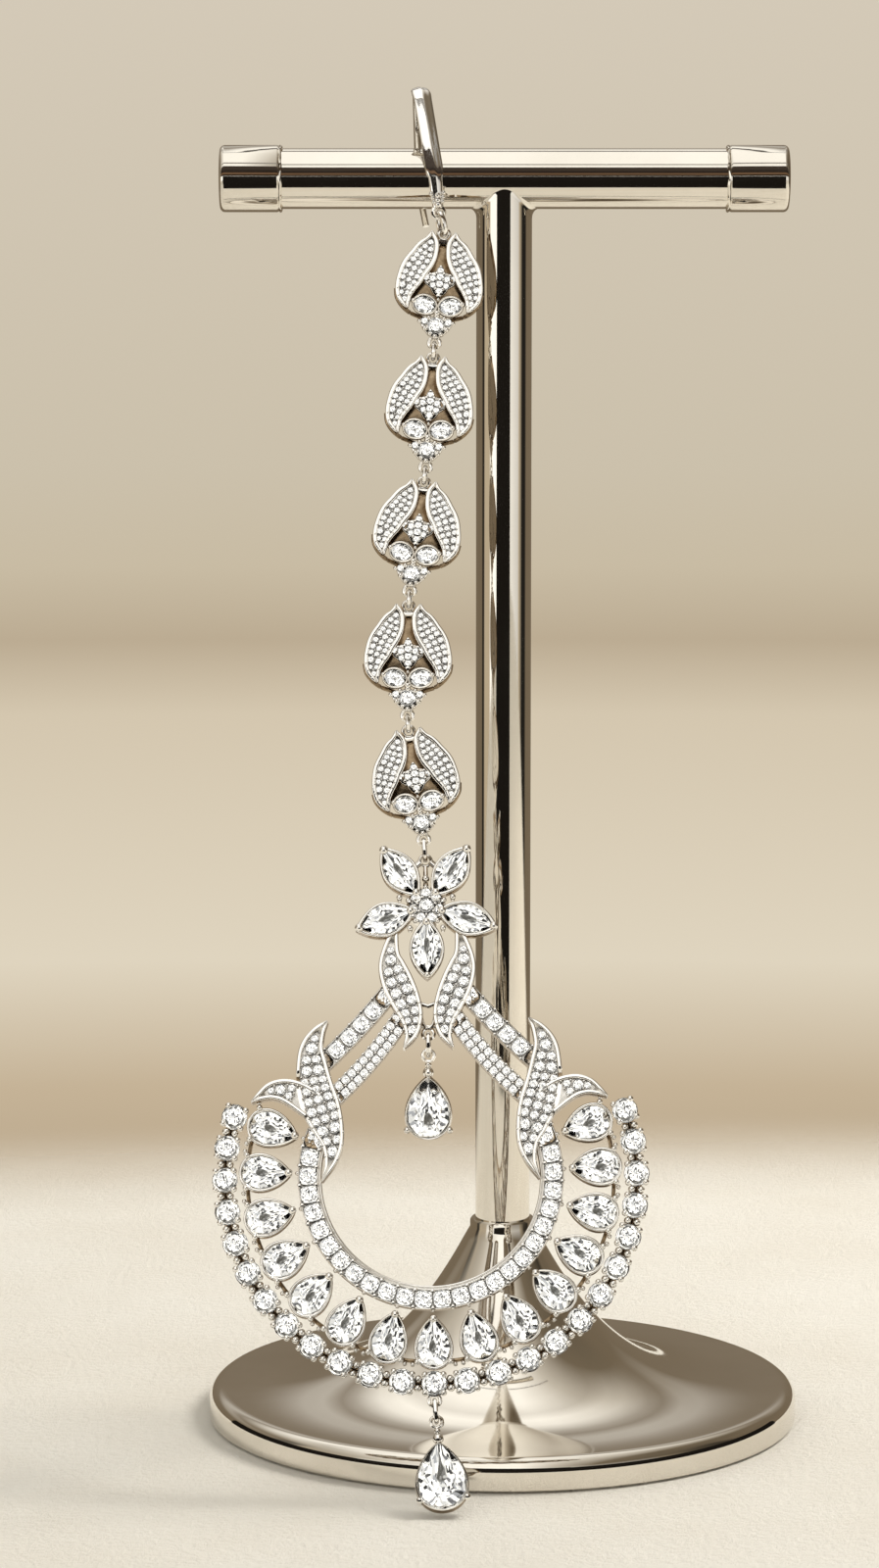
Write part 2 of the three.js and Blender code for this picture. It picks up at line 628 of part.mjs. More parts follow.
// A drop's open pear setting with its eye and claws. Its origin is the eye.
function dropSetting(length, width) {
  const foot = -EYE_RADIUS - DROP_NECK - length;
  const ring = plate(placed(pear(length, width, 0, 12), 0, 0, foot), -0.5, 0.9,
    placed(pear(length, width, STONE_WALL, 12), 0, 0, foot));
  const neck = plate(circle(0.62, 0, -EYE_RADIUS - DROP_NECK * 0.7, 8), -0.6, 0.6);
  const stemHalf = 0.32;
  const stem = plate([
    [-stemHalf, -EYE_HOLE_RADIUS - EYE_RIM / 2],
    [-stemHalf, foot + length - STONE_WALL * 0.4],
    [stemHalf, foot + length - STONE_WALL * 0.4],
    [stemHalf, -EYE_HOLE_RADIUS - EYE_RIM / 2],
  ], -0.3, 0.3);
  const claws = [-1, 1].map((side) => claw(side * width * 0.46, foot + length * 0.17, 0.36, 0.9, 0.9));
  const seat = plate(placed(pear(length, width, STONE_WALL, 12), 0, 0, foot), -3, 3);
  return joined([ring, neck, stem, ...claws]).subtract(seat).add(eye(0, 0));
}

function dropStone(length, width) {
  const outline = placed(pear(length, width, STONE_WALL + STONE_CLEARANCE, 12), 0, 0, -EYE_RADIUS - DROP_NECK - length);
  return cutStone(outline, DROP_GIRDLE, DROP_CROWN, DROP_PAVILION);
}

const dropReach = (length) => EYE_RADIUS + DROP_NECK + length;

const tikka = new THREE.Group();

// Adds a solid to the tikka, hung from a point, and gives the point below it.
function hang(name, solid, material, from, how, drop) {
  const { group, foot } = hung(from, how, drop);
  group.add(piece(name, solid, material));
  tikka.add(group);
  return foot;
}

const hookEye = new THREE.Vector3(HOOK_X, -HOOK_REACH * Math.cos(radians(HOOK_TURN)), 0);
hang("ear_hook", hookSolid(), polishedSilver(), hookEye, HOOK_HANG, 0);
let below = hang("hook_ring", jumpRing(HOOK_RING_DROP), polishedSilver(), hookEye, HOOK_RING_HANG, HOOK_RING_DROP);
const link = linkSolid();
LINK_HANGS.forEach((how, i) => {
  below = hang(`chain_link_${i + 1}`, link, polishedSilver(), below, how, LINK_DROP);
  const next = LINK_HANGS[i + 1] ?? PENDANT_HANG;
  const last = i + 1 === LINK_HANGS.length;
  const drop = last ? PENDANT_RING_DROP : RING_DROP;
  const name = last ? "pendant_ring" : `chain_ring_${i + 1}`;
  below = hang(name, jumpRing(drop), polishedSilver(), below, between(how, next), drop);
});

const pendantEye = below;
const onPendant = (height) => hung(pendantEye, PENDANT_HANG, TOP_EYE_HEIGHT - height).foot;
const { group: pendant } = hung(pendantEye, PENDANT_HANG, 0);
const crescent = new THREE.Group();
crescent.position.z = -TOP_EYE_HEIGHT;
pendant.add(crescent);
tikka.add(pendant);
crescent.add(piece("pendant_frame", frameSolid(), polishedSilver()));
crescent.add(piece("outer_stone_row", rowSolid(), crystal()));
pearAngles().forEach((degrees, i) => {
  const stone = cutStone(pearOutline(degrees, STONE_WALL + STONE_CLEARANCE, STONE_SIDES), -BAND_FRONT + 0.1, 0.65, 1.2);
  crescent.add(piece(`pear_stone_${i + 1}`, stone, crystal()));
});
petalAngles().forEach((degrees, i) => {
  const stone = cutStone(petalOutline(degrees, STONE_WALL + STONE_CLEARANCE, STONE_SIDES), -PETAL_FRONT + 0.2, 0.6, 1.2);
  crescent.add(piece(`petal_stone_${i + 1}`, stone, crystal()));
});
const centreOutline = circle(FLOWER_CUP_RADIUS - STONE_WALL - STONE_CLEARANCE, 0, FLOWER_HEIGHT, 12);
crescent.add(piece("flower_centre_stone", cutStone(centreOutline, -PETAL_FRONT - 0.2, 0.5, 1.0), crystal()));

// A drop on its own ring: the ring, then the setting and its stone.
function hangDrop(name, from, how, ringDrop, length, width) {
  const eyePoint = hang(`${name}_ring`, jumpRing(ringDrop), polishedSilver(), from, how, ringDrop);
  hang(`${name}_setting`, dropSetting(length, width), polishedSilver(), eyePoint, how, 0);
  return hang(`${name}_stone`, dropStone(length, width), crystal(), eyePoint, how, dropReach(length));
}

hangDrop("centre_drop", onPendant(CENTRE_EYE_HEIGHT), CENTRE_DROP_HANG, DROP_LINK_DROP,
  CENTRE_DROP_LENGTH, CENTRE_DROP_WIDTH);
const lowest = hangDrop("lower_drop", onPendant(-LOWER_EYE_DEPTH), LOWER_DROP_HANG, DROP_LINK_DROP,
  LOWER_DROP_LENGTH, LOWER_DROP_WIDTH);

// The stand is as tall as the leaning tikka needs, so that its lowest drop just clears the floor.
const dropBackDip = 0.9 * Math.sin(radians(LOWER_DROP_HANG.lean));
const eyeHeight = DROP_FLOOR_GAP + dropBackDip - lowest.z;
const hookSway = radians(HOOK_HANG.sway);
const hookBarSide = HOOK_REACH * Math.sin(radians(HOOK_TURN)) * Math.sin(hookSway);
const barHeight = eyeHeight + HOOK_BAR_UP * Math.cos(hookSway) + hookBarSide;
tikka.position.z = eyeHeight;

const display = new THREE.Group();
display.add(piece("stand_base", baseSolid(), standMetal()));
display.add(piece("stand_tee", teeSolid(barHeight), standMetal()));
display.add(piece("bar_cap_left", capSolid(barHeight, -1), standMetal()));
display.add(piece("bar_cap_right", capSolid(barHeight, 1), standMetal()));
display.add(tikka);

export default display;
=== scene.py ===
# A maang tikka hooked over a T-bar display stand. Sizes are in millimetres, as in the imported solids.
import math
import random

import bpy
import bmesh
import numpy as np
from mathutils import Matrix, Vector

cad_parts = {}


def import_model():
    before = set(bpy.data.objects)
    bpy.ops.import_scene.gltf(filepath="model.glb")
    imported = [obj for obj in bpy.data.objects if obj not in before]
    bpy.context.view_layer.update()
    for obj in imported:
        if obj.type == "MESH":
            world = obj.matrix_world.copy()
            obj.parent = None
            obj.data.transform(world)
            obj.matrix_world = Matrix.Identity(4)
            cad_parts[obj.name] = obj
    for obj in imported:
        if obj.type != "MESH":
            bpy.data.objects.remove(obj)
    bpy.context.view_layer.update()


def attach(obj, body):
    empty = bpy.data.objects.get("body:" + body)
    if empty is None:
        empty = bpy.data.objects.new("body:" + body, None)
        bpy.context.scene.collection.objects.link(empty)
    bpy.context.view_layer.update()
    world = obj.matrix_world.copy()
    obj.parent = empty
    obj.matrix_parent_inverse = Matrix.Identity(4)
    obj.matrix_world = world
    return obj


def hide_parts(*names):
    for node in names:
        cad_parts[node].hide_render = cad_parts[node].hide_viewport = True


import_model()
MM = 0.001
SEED = 7
rng = random.Random(SEED)

# Stand
BASE_RADIUS = 33.6
BASE_EDGE_HEIGHT = 3.7
BASE_EDGE_ROUND = 1.4
BASE_FOOT_CUT = (0.4, 0.35)
FLARE_INSET = 1.3
BASE_SIDES = 160
FLARE_HEIGHT = 18.3
FLARE_POWER = 3
COLLAR_RADIUS = 3.7
COLLAR_HEIGHT = 0.9
POST_RADIUS = 3.1
BAR_RADIUS = 3.35
BAR_LENGTH = 63.2
CAP_RADIUS = 3.7
CAP_LENGTH = 6.7
CAP_ROUND = 0.55
CRIMP_WIRE = 0.15
FILLET = 0.8
FILLET_DROP = (0.3, 0.7)
FILLET_LIFT = 0.04
SKIN = 0.01
POST_SINK = 0.3
TEE_SIDES = 72

# Wire, eyes and jump rings
WIRE_RADIUS = 0.22
EYE_HOLE_RADIUS = 0.46
EYE_RIM = 0.28
EYE_SPACING = 0.3
EYE_RADIUS = EYE_HOLE_RADIUS + EYE_RIM
EYE_WIRE = 0.2
EYE_LOOP = EYE_HOLE_RADIUS + EYE_WIRE * 0.8
RING_WIRE = WIRE_RADIUS * 1.15
LOOP_SIDES = 28
WIRE_SIDES = 8
RING_DROP = 2 * EYE_RADIUS + EYE_SPACING
HOOK_RING_DROP = RING_DROP + 0.8
PENDANT_RING_DROP = RING_DROP + 0.6
DROP_LINK_DROP = RING_DROP + 0.6

# Hook
HOOK_THICKNESS = 0.84
HOOK_CLEARANCE = 0.22
HOOK_TOP_RADIUS = 1.65
HOOK_RISE = 8.1
HOOK_TAIL = 5.2
HOOK_EYE_BELOW_BAR = 0.5
HOOK_TURN = 13
HOOK_X = -7.3
# Half width, half thickness and rib by share of the hook's length, from its eye
HOOK_WIDTHS = [(0, 0.6), (0.06, 0.84), (0.14, 0.98), (0.3, 1.08), (0.42, 0.97), (0.5, 0.76), (0.62, 0.44),
               (1, 0.36)]
HOOK_THICK = [(0, 0.4), (0.1, 0.4), (0.5, 0.38), (1, 0.3)]
HOOK_RIDGE = [(0, 0), (0.08, 0.06), (0.14, 0.1), (0.42, 0.1), (0.5, 0.05), (0.6, 0)]
HOOK_REACH = BAR_RADIUS / math.cos(math.radians(HOOK_TURN)) + HOOK_CLEARANCE + HOOK_THICKNESS / 2
HOOK_BAR_UP = BAR_RADIUS + HOOK_EYE_BELOW_BAR

# Chain link
LINK_HALF_WIDTH = 5.05
LINK_LEAF_HEIGHT = 8.4
LINK_FOOT_SHARE = 1.24
LINK_FOOT_RADIUS = 1.2
LINK_EYE_SINK = 0.076
LINK_DROP = LINK_LEAF_HEIGHT * LINK_FOOT_SHARE + LINK_FOOT_RADIUS + EYE_HOLE_RADIUS - LINK_EYE_SINK
LINK_FRONT = 0.65
LINK_BACK = 0.45
LINK_RIM = 0.52
SPRAY_FRONT = -0.1

# Pendant, measured from the crescent's centre
BAND_RADIUS = 13.05
BAND_WIDTH = 2.45
BAND_END = 113
BAND_STONES = 26
FLOWER_HEIGHT = 29.5
PETAL_REACH = 8.1
PETAL_WIDTH = 3.8
PETAL_START = 1.3
PETAL_COUNT = 5
HEART_COUNT = 7
# Reach, radius, shift along the ring, whether it is a stone or a bead
HEART_RINGS = [(1.42, 0.6, 0, True), (1.0, 0.2, 0.5, False), (1.85, 0.27, 0.5, False)]
TOP_EYE_ABOVE_FLOWER = 5.3
PEAR_COUNT = 15
PEAR_PITCH = 15.4
PEAR_LENGTH = 5.7
PEAR_WIDTH = 4.15
PEAR_GAP = 0.65
ROW_COUNT = 25
ROW_PITCH = 9
ROW_CUP_RADIUS = 1.25
ROW_GAP = 0.25
ARM_WIDTH = 2.1
FRAME_BACK = 0.7
BAND_FRONT = 0.7
RELIEF_FRONT = 1.2
PETAL_FRONT = 1.6
STONE_WALL = 0.24
BAND_OUTER = BAND_RADIUS + BAND_WIDTH / 2
PEAR_TIP = BAND_OUTER + PEAR_GAP
PEAR_END = PEAR_TIP + PEAR_LENGTH
ROW_RADIUS = PEAR_END + ROW_GAP + ROW_CUP_RADIUS
LOWER_EYE_DEPTH = ROW_RADIUS + ROW_CUP_RADIUS + EYE_HOLE_RADIUS
TOP_EYE_HEIGHT = FLOWER_HEIGHT + TOP_EYE_ABOVE_FLOWER
CENTRE_EYE_HEIGHT = FLOWER_HEIGHT * 0.53

# Drops
CENTRE_DROP = {"length": 6.9, "width": 5.1}
LOWER_DROP = {"length": 7.4, "width": 5.6}
DROP_NECK = 1.5
DROP_FLOOR_GAP = 0.3
DROP_BACK = 0.9

# Rims, prongs and small stones
RIM = 0.46
FINE_RIM = 0.16
RIM_ROUND = 0.12
RECESS = 0.5
BEAD = 0.2
LINK_BEAD = 0.14
RELIEF_BEAD = 0.16
PRONG = 0.34
LINK_PAVE = 0.68
RELIEF_PAVE = 1.12
LOBE_PAVE = 1.0
ARM_PAVE = (1.7, 0.86)
PAVE_SINK = 0.12
PAVE_STEP = 0.12
PAVE_NARROWEST = 0.75
PAVE_LARGEST = 0.62
STONE_TILT = 4
STONE_SPIN = 60
GIRDLE = 0.07

# Hang of each piece in degrees: lean brings its foot forward, sway takes it to the left, turn spins it.
HOOK_HANG = (0, -5.5, HOOK_TURN)
HOOK_RING_HANG = (6, -13, 20)
LINK_HANGS = [(8, 5, 0), (9, 4, 0), (10, 7.5, 0), (11, 0.5, 0), (12, -8, 0)]
PENDANT_HANG = (20, -1, 0)
CENTRE_DROP_HANG = (4, 0, 0)
LOWER_DROP_HANG = (30, -5, 0)

# Leaf sections as (across, up, half): shares of the same sizes as in the solids.
LINK_LEAF = [(0.26, 0.03, 0.024), (0.262, -0.1, 0.18), (0.34, -0.225, 0.27), (0.438, -0.348, 0.302),
             (0.568, -0.47, 0.307), (0.653, -0.595, 0.287), (0.725, -0.714, 0.242), (0.749, -0.833, 0.182),
             (0.703, -0.94, 0.099), (0.653, -1.0, 0.024)]
FLOWER_LEAF = [(0.117, 0.925, 0.012), (0.134, 0.834, 0.033), (0.13, 0.78, 0.05), (0.11, 0.719, 0.058),
               (0.083, 0.654, 0.055), (0.062, 0.593, 0.044), (0.062, 0.529, 0.025), (0.09, 0.473, 0.004)]
SCROLL_HORN = [(0.835, 1.307, 0.008), (0.912, 1.215, 0.057), (0.969, 1.08, 0.1), (0.966, 0.92, 0.132),
               (0.943, 0.751, 0.153), (0.897, 0.59, 0.16), (0.843, 0.429, 0.134), (0.806, 0.276, 0.09),
               (0.826, 0.123, 0.048), (0.897, -0.031, 0.008)]
SCROLL_LOBE = [(1.471, 0.64, 0.008), (1.395, 0.69, 0.04), (1.303, 0.732, 0.073), (1.195, 0.732, 0.097),
               (1.08, 0.686, 0.115), (0.966, 0.605, 0.12)]
ARMS = [(0.135, 0.693, 0.9, 0.94, 0.02), (0.095, 0.592, 0.84, 0.63, 0.035)]

# Studio. The camera follows the photograph's perspective.
TABLE_PLACE = (60, -620)
TABLE_RADIUS = 800
TABLE_FADE = 70
TABLE_SIDES = 180
GLINT_SCALE = 6.2
STONE_IOR = 1.36
WEAR_DEPTH = 0.00005
CAMERA_PLACE = (-7.2, -480.4, 129.6)
CAMERA_PITCH = 6.75
CAMERA_FOV = 20.76
CLIP = (0.01, 50)
GREY_FACING = (-0.906, 0.423)
SHARP_ANGLE = 42

# Finish slots. WALL takes the dark brown metal that paints the shade of side walls and hollows.
METAL, CROWN, MIRROR, TRAY, WALL, LARGE_CROWN = range(6)


class Mould:
    """Points and faces of a piece in millimetres, each face with its finish."""

    def __init__(self):
        self.points, self.faces, self.finish, self.count = [], [], [], 0

    def add(self, points, faces, finish=METAL):
        points = np.asarray(points, float).reshape(-1, 3)
        self.faces += [tuple(i + self.count for i in face) for face in faces]
        self.finish += list(finish) if isinstance(finish, (list, tuple)) else [finish] * len(faces)
        self.points.append(points)
        self.count += len(points)
        return self

    def stamp(self, other, matrix=None):
        points = np.concatenate(other.points)
        if matrix is not None:
            m = np.array(matrix)
            points = points @ m[:3, :3].T + m[:3, 3]
        return self.add(points, other.faces, other.finish)

    def pair(self, other):
        return self.stamp(other).stamp(other, Matrix.Scale(-1, 4, (1, 0, 0)))

    def bead(self, x, z, y, radius, sides=9, rows=6):
        return self.stamp(ball(1, sides, rows), at(x, z, y, radius))

    def wire(self, line, radius, sides=WIRE_SIDES, finish=METAL):
        rod = tube(line, radius, sides)
        rod.finish = [finish] * len(rod.finish)
        return self.stamp(rod)

    def eye(self, z=0.0):
        return self.stamp(loop(EYE_LOOP, EYE_WIRE, 0, z))


def at(x, z, y=0.0, scale=1.0, spin=0.0, tilt=(0.0, 0.0)):
    """Matrix for a piece that faces the viewer at (x, z): spin about Y, then a slight tilt, in degrees."""
    turn = Matrix.Rotation(math.radians(tilt[0]), 4, "X") @ Matrix.Rotation(math.radians(tilt[1]), 4, "Z")
    return (Matrix.Translation((x, y, z)) @ turn @ Matrix.Rotation(-math.radians(spin), 4, "Y")
            @ Matrix.Diagonal((scale, scale, scale, 1)))


def added(name, data):
    obj = bpy.data.objects.new(name, data)
    bpy.context.collection.objects.link(obj)
    return obj


def make(name, mould, finishes, place=None, nodes=()):
    """A Blender object from a mould, put in place, riding on the root body and standing for its CAD nodes."""
    mesh = bpy.data.meshes.new(name)
    points = np.concatenate(mould.points) * MM
    mesh.from_pydata(points.tolist(), [], mould.faces)
    for finish in finishes:
        mesh.materials.append(finish)
    mesh.polygons.foreach_set("material_index", [min(f, len(finishes) - 1) for f in mould.finish])
    bm = bmesh.new()
    bm.from_mesh(mesh)
    bmesh.ops.recalc_face_normals(bm, faces=bm.faces)
    bm.to_mesh(mesh)
    bm.free()
    gem = (CROWN, LARGE_CROWN, MIRROR)
    mesh.polygons.foreach_set("use_smooth", [f not in gem for f in mould.finish])
    mesh.set_sharp_from_angle(angle=math.radians(SHARP_ANGLE))
    if place is not None:
        m = place.copy()
        m.translation = m.translation * MM
        mesh.transform(m)
    mesh.update()
    obj = added(name, mesh)
    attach(obj, "root")
    if nodes:
        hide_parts(*nodes)
    return obj


def joined_rings(rings, around=False):
    """Faces between rings of equally many points. around also joins the last ring to the first."""
    n = len(rings[0])
    faces = []
    last = len(rings) if around else len(rings) - 1
    for i in range(last):
        a, b = i * n, ((i + 1) % len(rings)) * n
        for j in range(n):
            k = (j + 1) % n
            faces.append((a + j, a + k, b + k, b + j))
    return np.concatenate(rings), faces


def capped(rings):
    """Faces of a closed loft whose ends are filled."""
    n = len(rings[0])
    points, faces = joined_rings(rings)
    end = (len(rings) - 1) * n
    return points, faces + [tuple(range(n)), tuple(range(end + n - 1, end - 1, -1))]


def lathe(profile, sides, bands=None):
    """A body turned about Y from (radius, y) points, the first and last on the axis. bands are finishes."""
    mould = Mould()
    bands = bands or [METAL] * (len(profile) - 1)
    angles = np.arange(sides) * 2 * math.pi / sides
    rings = [np.stack([r * np.cos(angles), np.full(sides, y), r * np.sin(angles)], 1)
             for r, y in profile[1:-1]]
    points, faces = joined_rings(rings)
    tips = [(0, profile[0][1], 0), (0, profile[-1][1], 0)]
    count = len(points)
    end = count - sides
    finish = [band for band in bands[1:-1] for _ in range(sides)]
    for j in range(sides):
        k = (j + 1) % sides
        faces += [(count, k, j), (count + 1, end + j, end + k)]
        finish += [bands[0], bands[-1]]
    return mould.add(np.concatenate([points, tips]), faces, finish)


def ball(radius=1.0, sides=8, rows=5):
    steps = [math.pi * i / rows for i in range(rows + 1)]
    return lathe([(radius * math.sin(a), -radius * math.cos(a)) for a in steps], sides)


def tube(line, radius, sides=8, closed=False, flat=None, ridge=0.0):
    """A tube along (x, y, z) points. radius is a number or one for each point, flat widens it along X, and
    ridge raises a rib along the middle and both edges of its outer side."""
    line = np.asarray(line, float)
    radii = np.broadcast_to(radius, len(line))
    widths = radii if flat is None else np.broadcast_to(flat, len(line))
    ribs = np.broadcast_to(ridge, len(line))
    rings = []
    for i, point in enumerate(line):
        before = line[i - 1] if i or closed else line[i]
        after = line[(i + 1) % len(line)] if i + 1 < len(line) or closed else line[i]
        ahead = Vector(after - before).normalized()
        side = Vector((1, 0, 0)) if abs(ahead.x) < 0.9 else Vector((0, 1, 0))
        side = (side - ahead * side.dot(ahead)).normalized()
        other = ahead.cross(side)
        ring = []
        for a in (2 * math.pi * j / sides for j in range(sides)):
            rib = 1 + ribs[i] * math.cos(2 * math.pi * math.cos(a)) if math.sin(a) < 0 else 1
            ring.append(point + np.array(side) * widths[i] * math.cos(a)
                        + np.array(other) * radii[i] * math.sin(a) * rib)
        rings.append(np.array(ring))
    if closed:
        return Mould().add(*joined_rings(rings, around=True))
    return Mould().add(*capped(rings))


def loop(radius, wire, x=0.0, z=0.0, edge_on=False):
    """A wire ring in the plane that faces the viewer, or edge-on to the viewer."""
    angles = [2 * math.pi * i / LOOP_SIDES for i in range(LOOP_SIDES)]
    if edge_on:
        line = [(x, radius * math.sin(a), z + radius * math.cos(a)) for a in angles]
    else:
        line = [(x + radius * math.sin(a), 0, z + radius * math.cos(a)) for a in angles]
    return tube(line, wire, WIRE_SIDES, closed=True)


def catmull(rows, steps=10):
    """A smooth run through the rows of a table, as in the solids."""
    rows = np.asarray(rows, float)
    padded = np.concatenate([[2 * rows[0] - rows[1]], rows, [2 * rows[-1] - rows[-2]]])
    out = []
    for i in range(1, len(padded) - 2):
        p0, p1, p2, p3 = padded[i - 1:i + 3]
        for t in np.arange(steps) / steps:
            out.append(0.5 * (2 * p1 + (p2 - p0) * t + (2 * p0 - 5 * p1 + 4 * p2 - p3) * t ** 2
                              + (3 * p1 - p0 - 3 * p2 + p3) * t ** 3))
    out.append(rows[-1])
    return np.array(out)


class Run:
    """A strip's middle line in (x, z), with its half width, by distance along it."""

    def __init__(self, rows):
        self.rows = np.asarray(rows, float)
        steps = np.hypot(*np.diff(self.rows[:, :2], axis=0).T)
        self.along = np.concatenate([[0], np.cumsum(steps)])
        self.length = self.along[-1]

    def at(self, distance):
        x, z, half = (np.interp(distance, self.along, self.rows[:, k]) for k in range(3))
        step = self.length * 0.01
        low, high = max(distance - step, 0), min(distance + step, self.length)
        dx = np.interp(high, self.along, self.rows[:, 0]) - np.interp(low, self.along, self.rows[:, 0])
        dz = np.interp(high, self.along, self.rows[:, 1]) - np.interp(low, self.along, self.rows[:, 1])
        size = math.hypot(dx, dz)
        return x, z, half, dz / size, -dx / size


def scaled_run(rows, width, height):
    return Run(catmull([(a * width, u * height, max(h * width, 0.03)) for a, u, h in rows]))


def tray(run, front, back, rim, stations=40, blunt=False, open_side=None, recess=RECESS):
    """A strip with rounded raised rims and a sunk floor. open_side is (side, from, to), which has no rim."""
    rings = []
    spots = list(np.linspace(0, run.length, stations))
    if blunt:
        spots = sorted(spots + [rim * 0.9, rim * 1.1, run.length - rim * 1.1, run.length - rim * 0.9])
    arc = [math.radians(a) for a in (0, 30, 60, 90)]
    for distance in spots:
        x, z, half, ax, az = run.at(distance)
        near_end = min(distance, run.length - distance)
        width = min(rim, half * 0.96)
        sunk = recess if half > rim * 1.15 and not (blunt and near_end < rim) else 0.02
        sunk = min(sunk, max(half - rim, 0.02) * 2)
        r = width / 2
        profile = []
        for side in (-1, 1):
            lifted = 1.0
            if open_side and side == open_side[0]:
                share = distance / run.length
                fade = min(share - open_side[1], open_side[2] - share) / 0.03
                lifted = 1 - min(max(fade, 0), 1)
            q = min(RIM_ROUND, r)
            outer = [(half - q + q * math.cos(a), -front + q - q * math.sin(a)) for a in arc]
            inner = [(half - 2 * r + q - q * math.cos(a), -front + q - q * math.sin(a)) for a in arc]
            rim_points = [(side * u, y) for u, y in outer + inner[::-1]]
            floor = -front + r * 0.5 + sunk
            rim_points = [(u, floor + (y - floor) * lifted) for u, y in rim_points]
            part = [(side * half, back)] + rim_points + [(side * (half - 2 * r), floor)]
            profile += part if side < 0 else part[::-1]
        rings.append(np.array([(x + ax * u, y, z + az * u) for u, y in profile]))
    points, faces = capped(rings)
    rim_bands = [METAL] * (2 * len(arc) - 1)
    # The outer and inner side walls take WALL: painted shade.
    around = [WALL] + rim_bands + [TRAY] * 3 + rim_bands + [WALL, METAL]
    return Mould().add(points, faces, around * (len(rings) - 1) + [METAL, METAL])


def gem_template(outline, n, table, crown, pavilion, middle=None, tier=(0.5, 0.74), window=0.03, front=CROWN):
    """A brilliant cut on any outline: table, star, kite and girdle facets in front, mirror-backed pavilion
    behind. window is the share of the flat facet at the very back."""
    girdle = np.array([outline(k / (2 * n)) for k in range(2 * n)])
    centre = girdle.mean(0) if middle is None else np.array(middle)
    even, odd, every = range(0, 2 * n, 2), range(1, 2 * n, 2), range(2 * n)

    def ring(share, y, which):
        spots = centre + (girdle[list(which)] - centre) * share
        return [(x, y, z) for x, z in spots]

    points = (ring(table, -crown, even) + ring((1 + table) / 2 * 1.03, -crown * 0.55, odd)
              + ring(1, 0, every) + ring(1, GIRDLE, every) + ring(tier[0], pavilion * tier[1], odd)
              + ring(window, pavilion, even))
    top, star, rim, low, mid, culet = 0, n, 2 * n, 4 * n, 6 * n, 7 * n
    faces = [tuple(range(n))]
    for k in range(n):
        nxt, prv = (k + 1) % n, (k - 1) % n
        g0, g1, g2 = 2 * k, 2 * k + 1, (2 * k + 2) % (2 * n)
        faces += [(top + k, star + k, top + nxt), (top + k, star + prv, rim + g0, star + k),
                  (star + k, rim + g0, rim + g1), (star + k, rim + g1, rim + g2),
                  (rim + g0, low + g0, low + g1, rim + g1), (rim + g1, low + g1, low + g2, rim + g2)]
    finish = [front] * len(faces)
    for k in range(n):
        nxt, prv = (k + 1) % n, (k - 1) % n
        g0, g1, g2 = 2 * k, 2 * k + 1, (2 * k + 2) % (2 * n)
        faces += [(mid + k, low + g1, low + g0), (mid + k, low + g2, low + g1),
                  (culet + k, mid + prv, low + g0, mid + k), (culet + k, mid + k, culet + nxt)]
    faces.append(tuple(culet + k for k in range(n)))
    finish += [MIRROR] * (4 * n + 1)
    return Mould().add(points, faces, finish)


def round_outline(rx, rz=None):
    rz = rx if rz is None else rz
    return lambda t: (rx * math.sin(2 * math.pi * t), rz * math.cos(2 * math.pi * t))


def cushion_outline(share):
    """A square with well-rounded corners, of unit half width."""
    a = 2 * math.pi * share
    return tuple(math.copysign(abs(v) ** 0.62, v) for v in (math.sin(a), math.cos(a)))


def pear_outline(length, width, inset=0.0):
    """Tip up at (0, length), round end at the origin."""
    def outline(share):
        t = share * 2 * math.pi
        belly = math.sin(t) * abs(math.sin(t / 2)) ** 0.6
        return -belly * (width / 2 - inset) / 0.83, length / 2 + (length / 2 - inset) * math.cos(t)
    return outline


def marquise_outline(length, width, inset=0.0):
    def outline(share):
        t = share * 2 * math.pi
        clear = length - 4 * inset
        along = math.sin(t / 2) ** 2 * clear + 2 * inset
        swell = math.sin(math.pi * (along - 2 * inset) / clear) ** 0.8 if 0 < along - 2 * inset < clear else 0
        return (1 if t < math.pi else -1) * swell * (width / 2 - inset), along
    return outline


def bezel(make_outline, wall, front, back, sides=40, lip=0.1):
    """A thin polished wall round a stone, its front edge rounded."""
    sections = [(0, back), (0, -front + lip), (wall * 0.2, -front + lip * 0.3), (wall * 0.5, -front),
                (wall * 0.8, -front + lip * 0.3), (wall, -front + lip), (wall, back)]
    rings = []
    for inset, y in sections:
        outline = make_outline(inset)
        rings.append(np.array([(x, y, z) for x, z in (outline(k / sides) for k in range(sides))]))
    points, faces = joined_rings(rings, around=True)
    # The bezel's two side walls take WALL: painted shade.
    bands = [WALL] + [METAL] * (len(sections) - 2) + [WALL]
    return Mould().add(points, faces, [band for band in bands for _ in range(sides)])


def plate(outline, front, back, bevel=0.12):
    """A flat plate with a rounded front edge. outline is a list of (x, z)."""
    flat = np.array(outline, float)
    middle = flat.mean(0)
    rings = []
    for y, share in ((back, 0.0), (front + bevel, 0.0), (front + bevel * 0.3, 0.4), (front, 1.0)):
        size = np.hypot(*(flat - middle).T)[:, None]
        spots = middle + (flat - middle) * (1 - share * bevel / np.maximum(size, bevel))
        rings.append(np.array([(x, y, z) for x, z in spots]))
    points, faces = capped(rings)
    count = len(outline)
    # The plate's side wall takes WALL: painted shade.
    return Mould().add(points, faces, [WALL] * count + [METAL] * (2 * count + 2))


def claw(radius, front, back):
    """A prong: a slightly tapering post with a rounded bead on its front."""
    dome = [(radius * math.sin(a), -front - radius * 0.9 * math.cos(a)) for a in (0, 0.45, 0.9, 1.3)]
    return lathe(dome + [(radius * 0.9, -front + radius * 0.5), (radius * 0.65, back), (0, back)], 10)


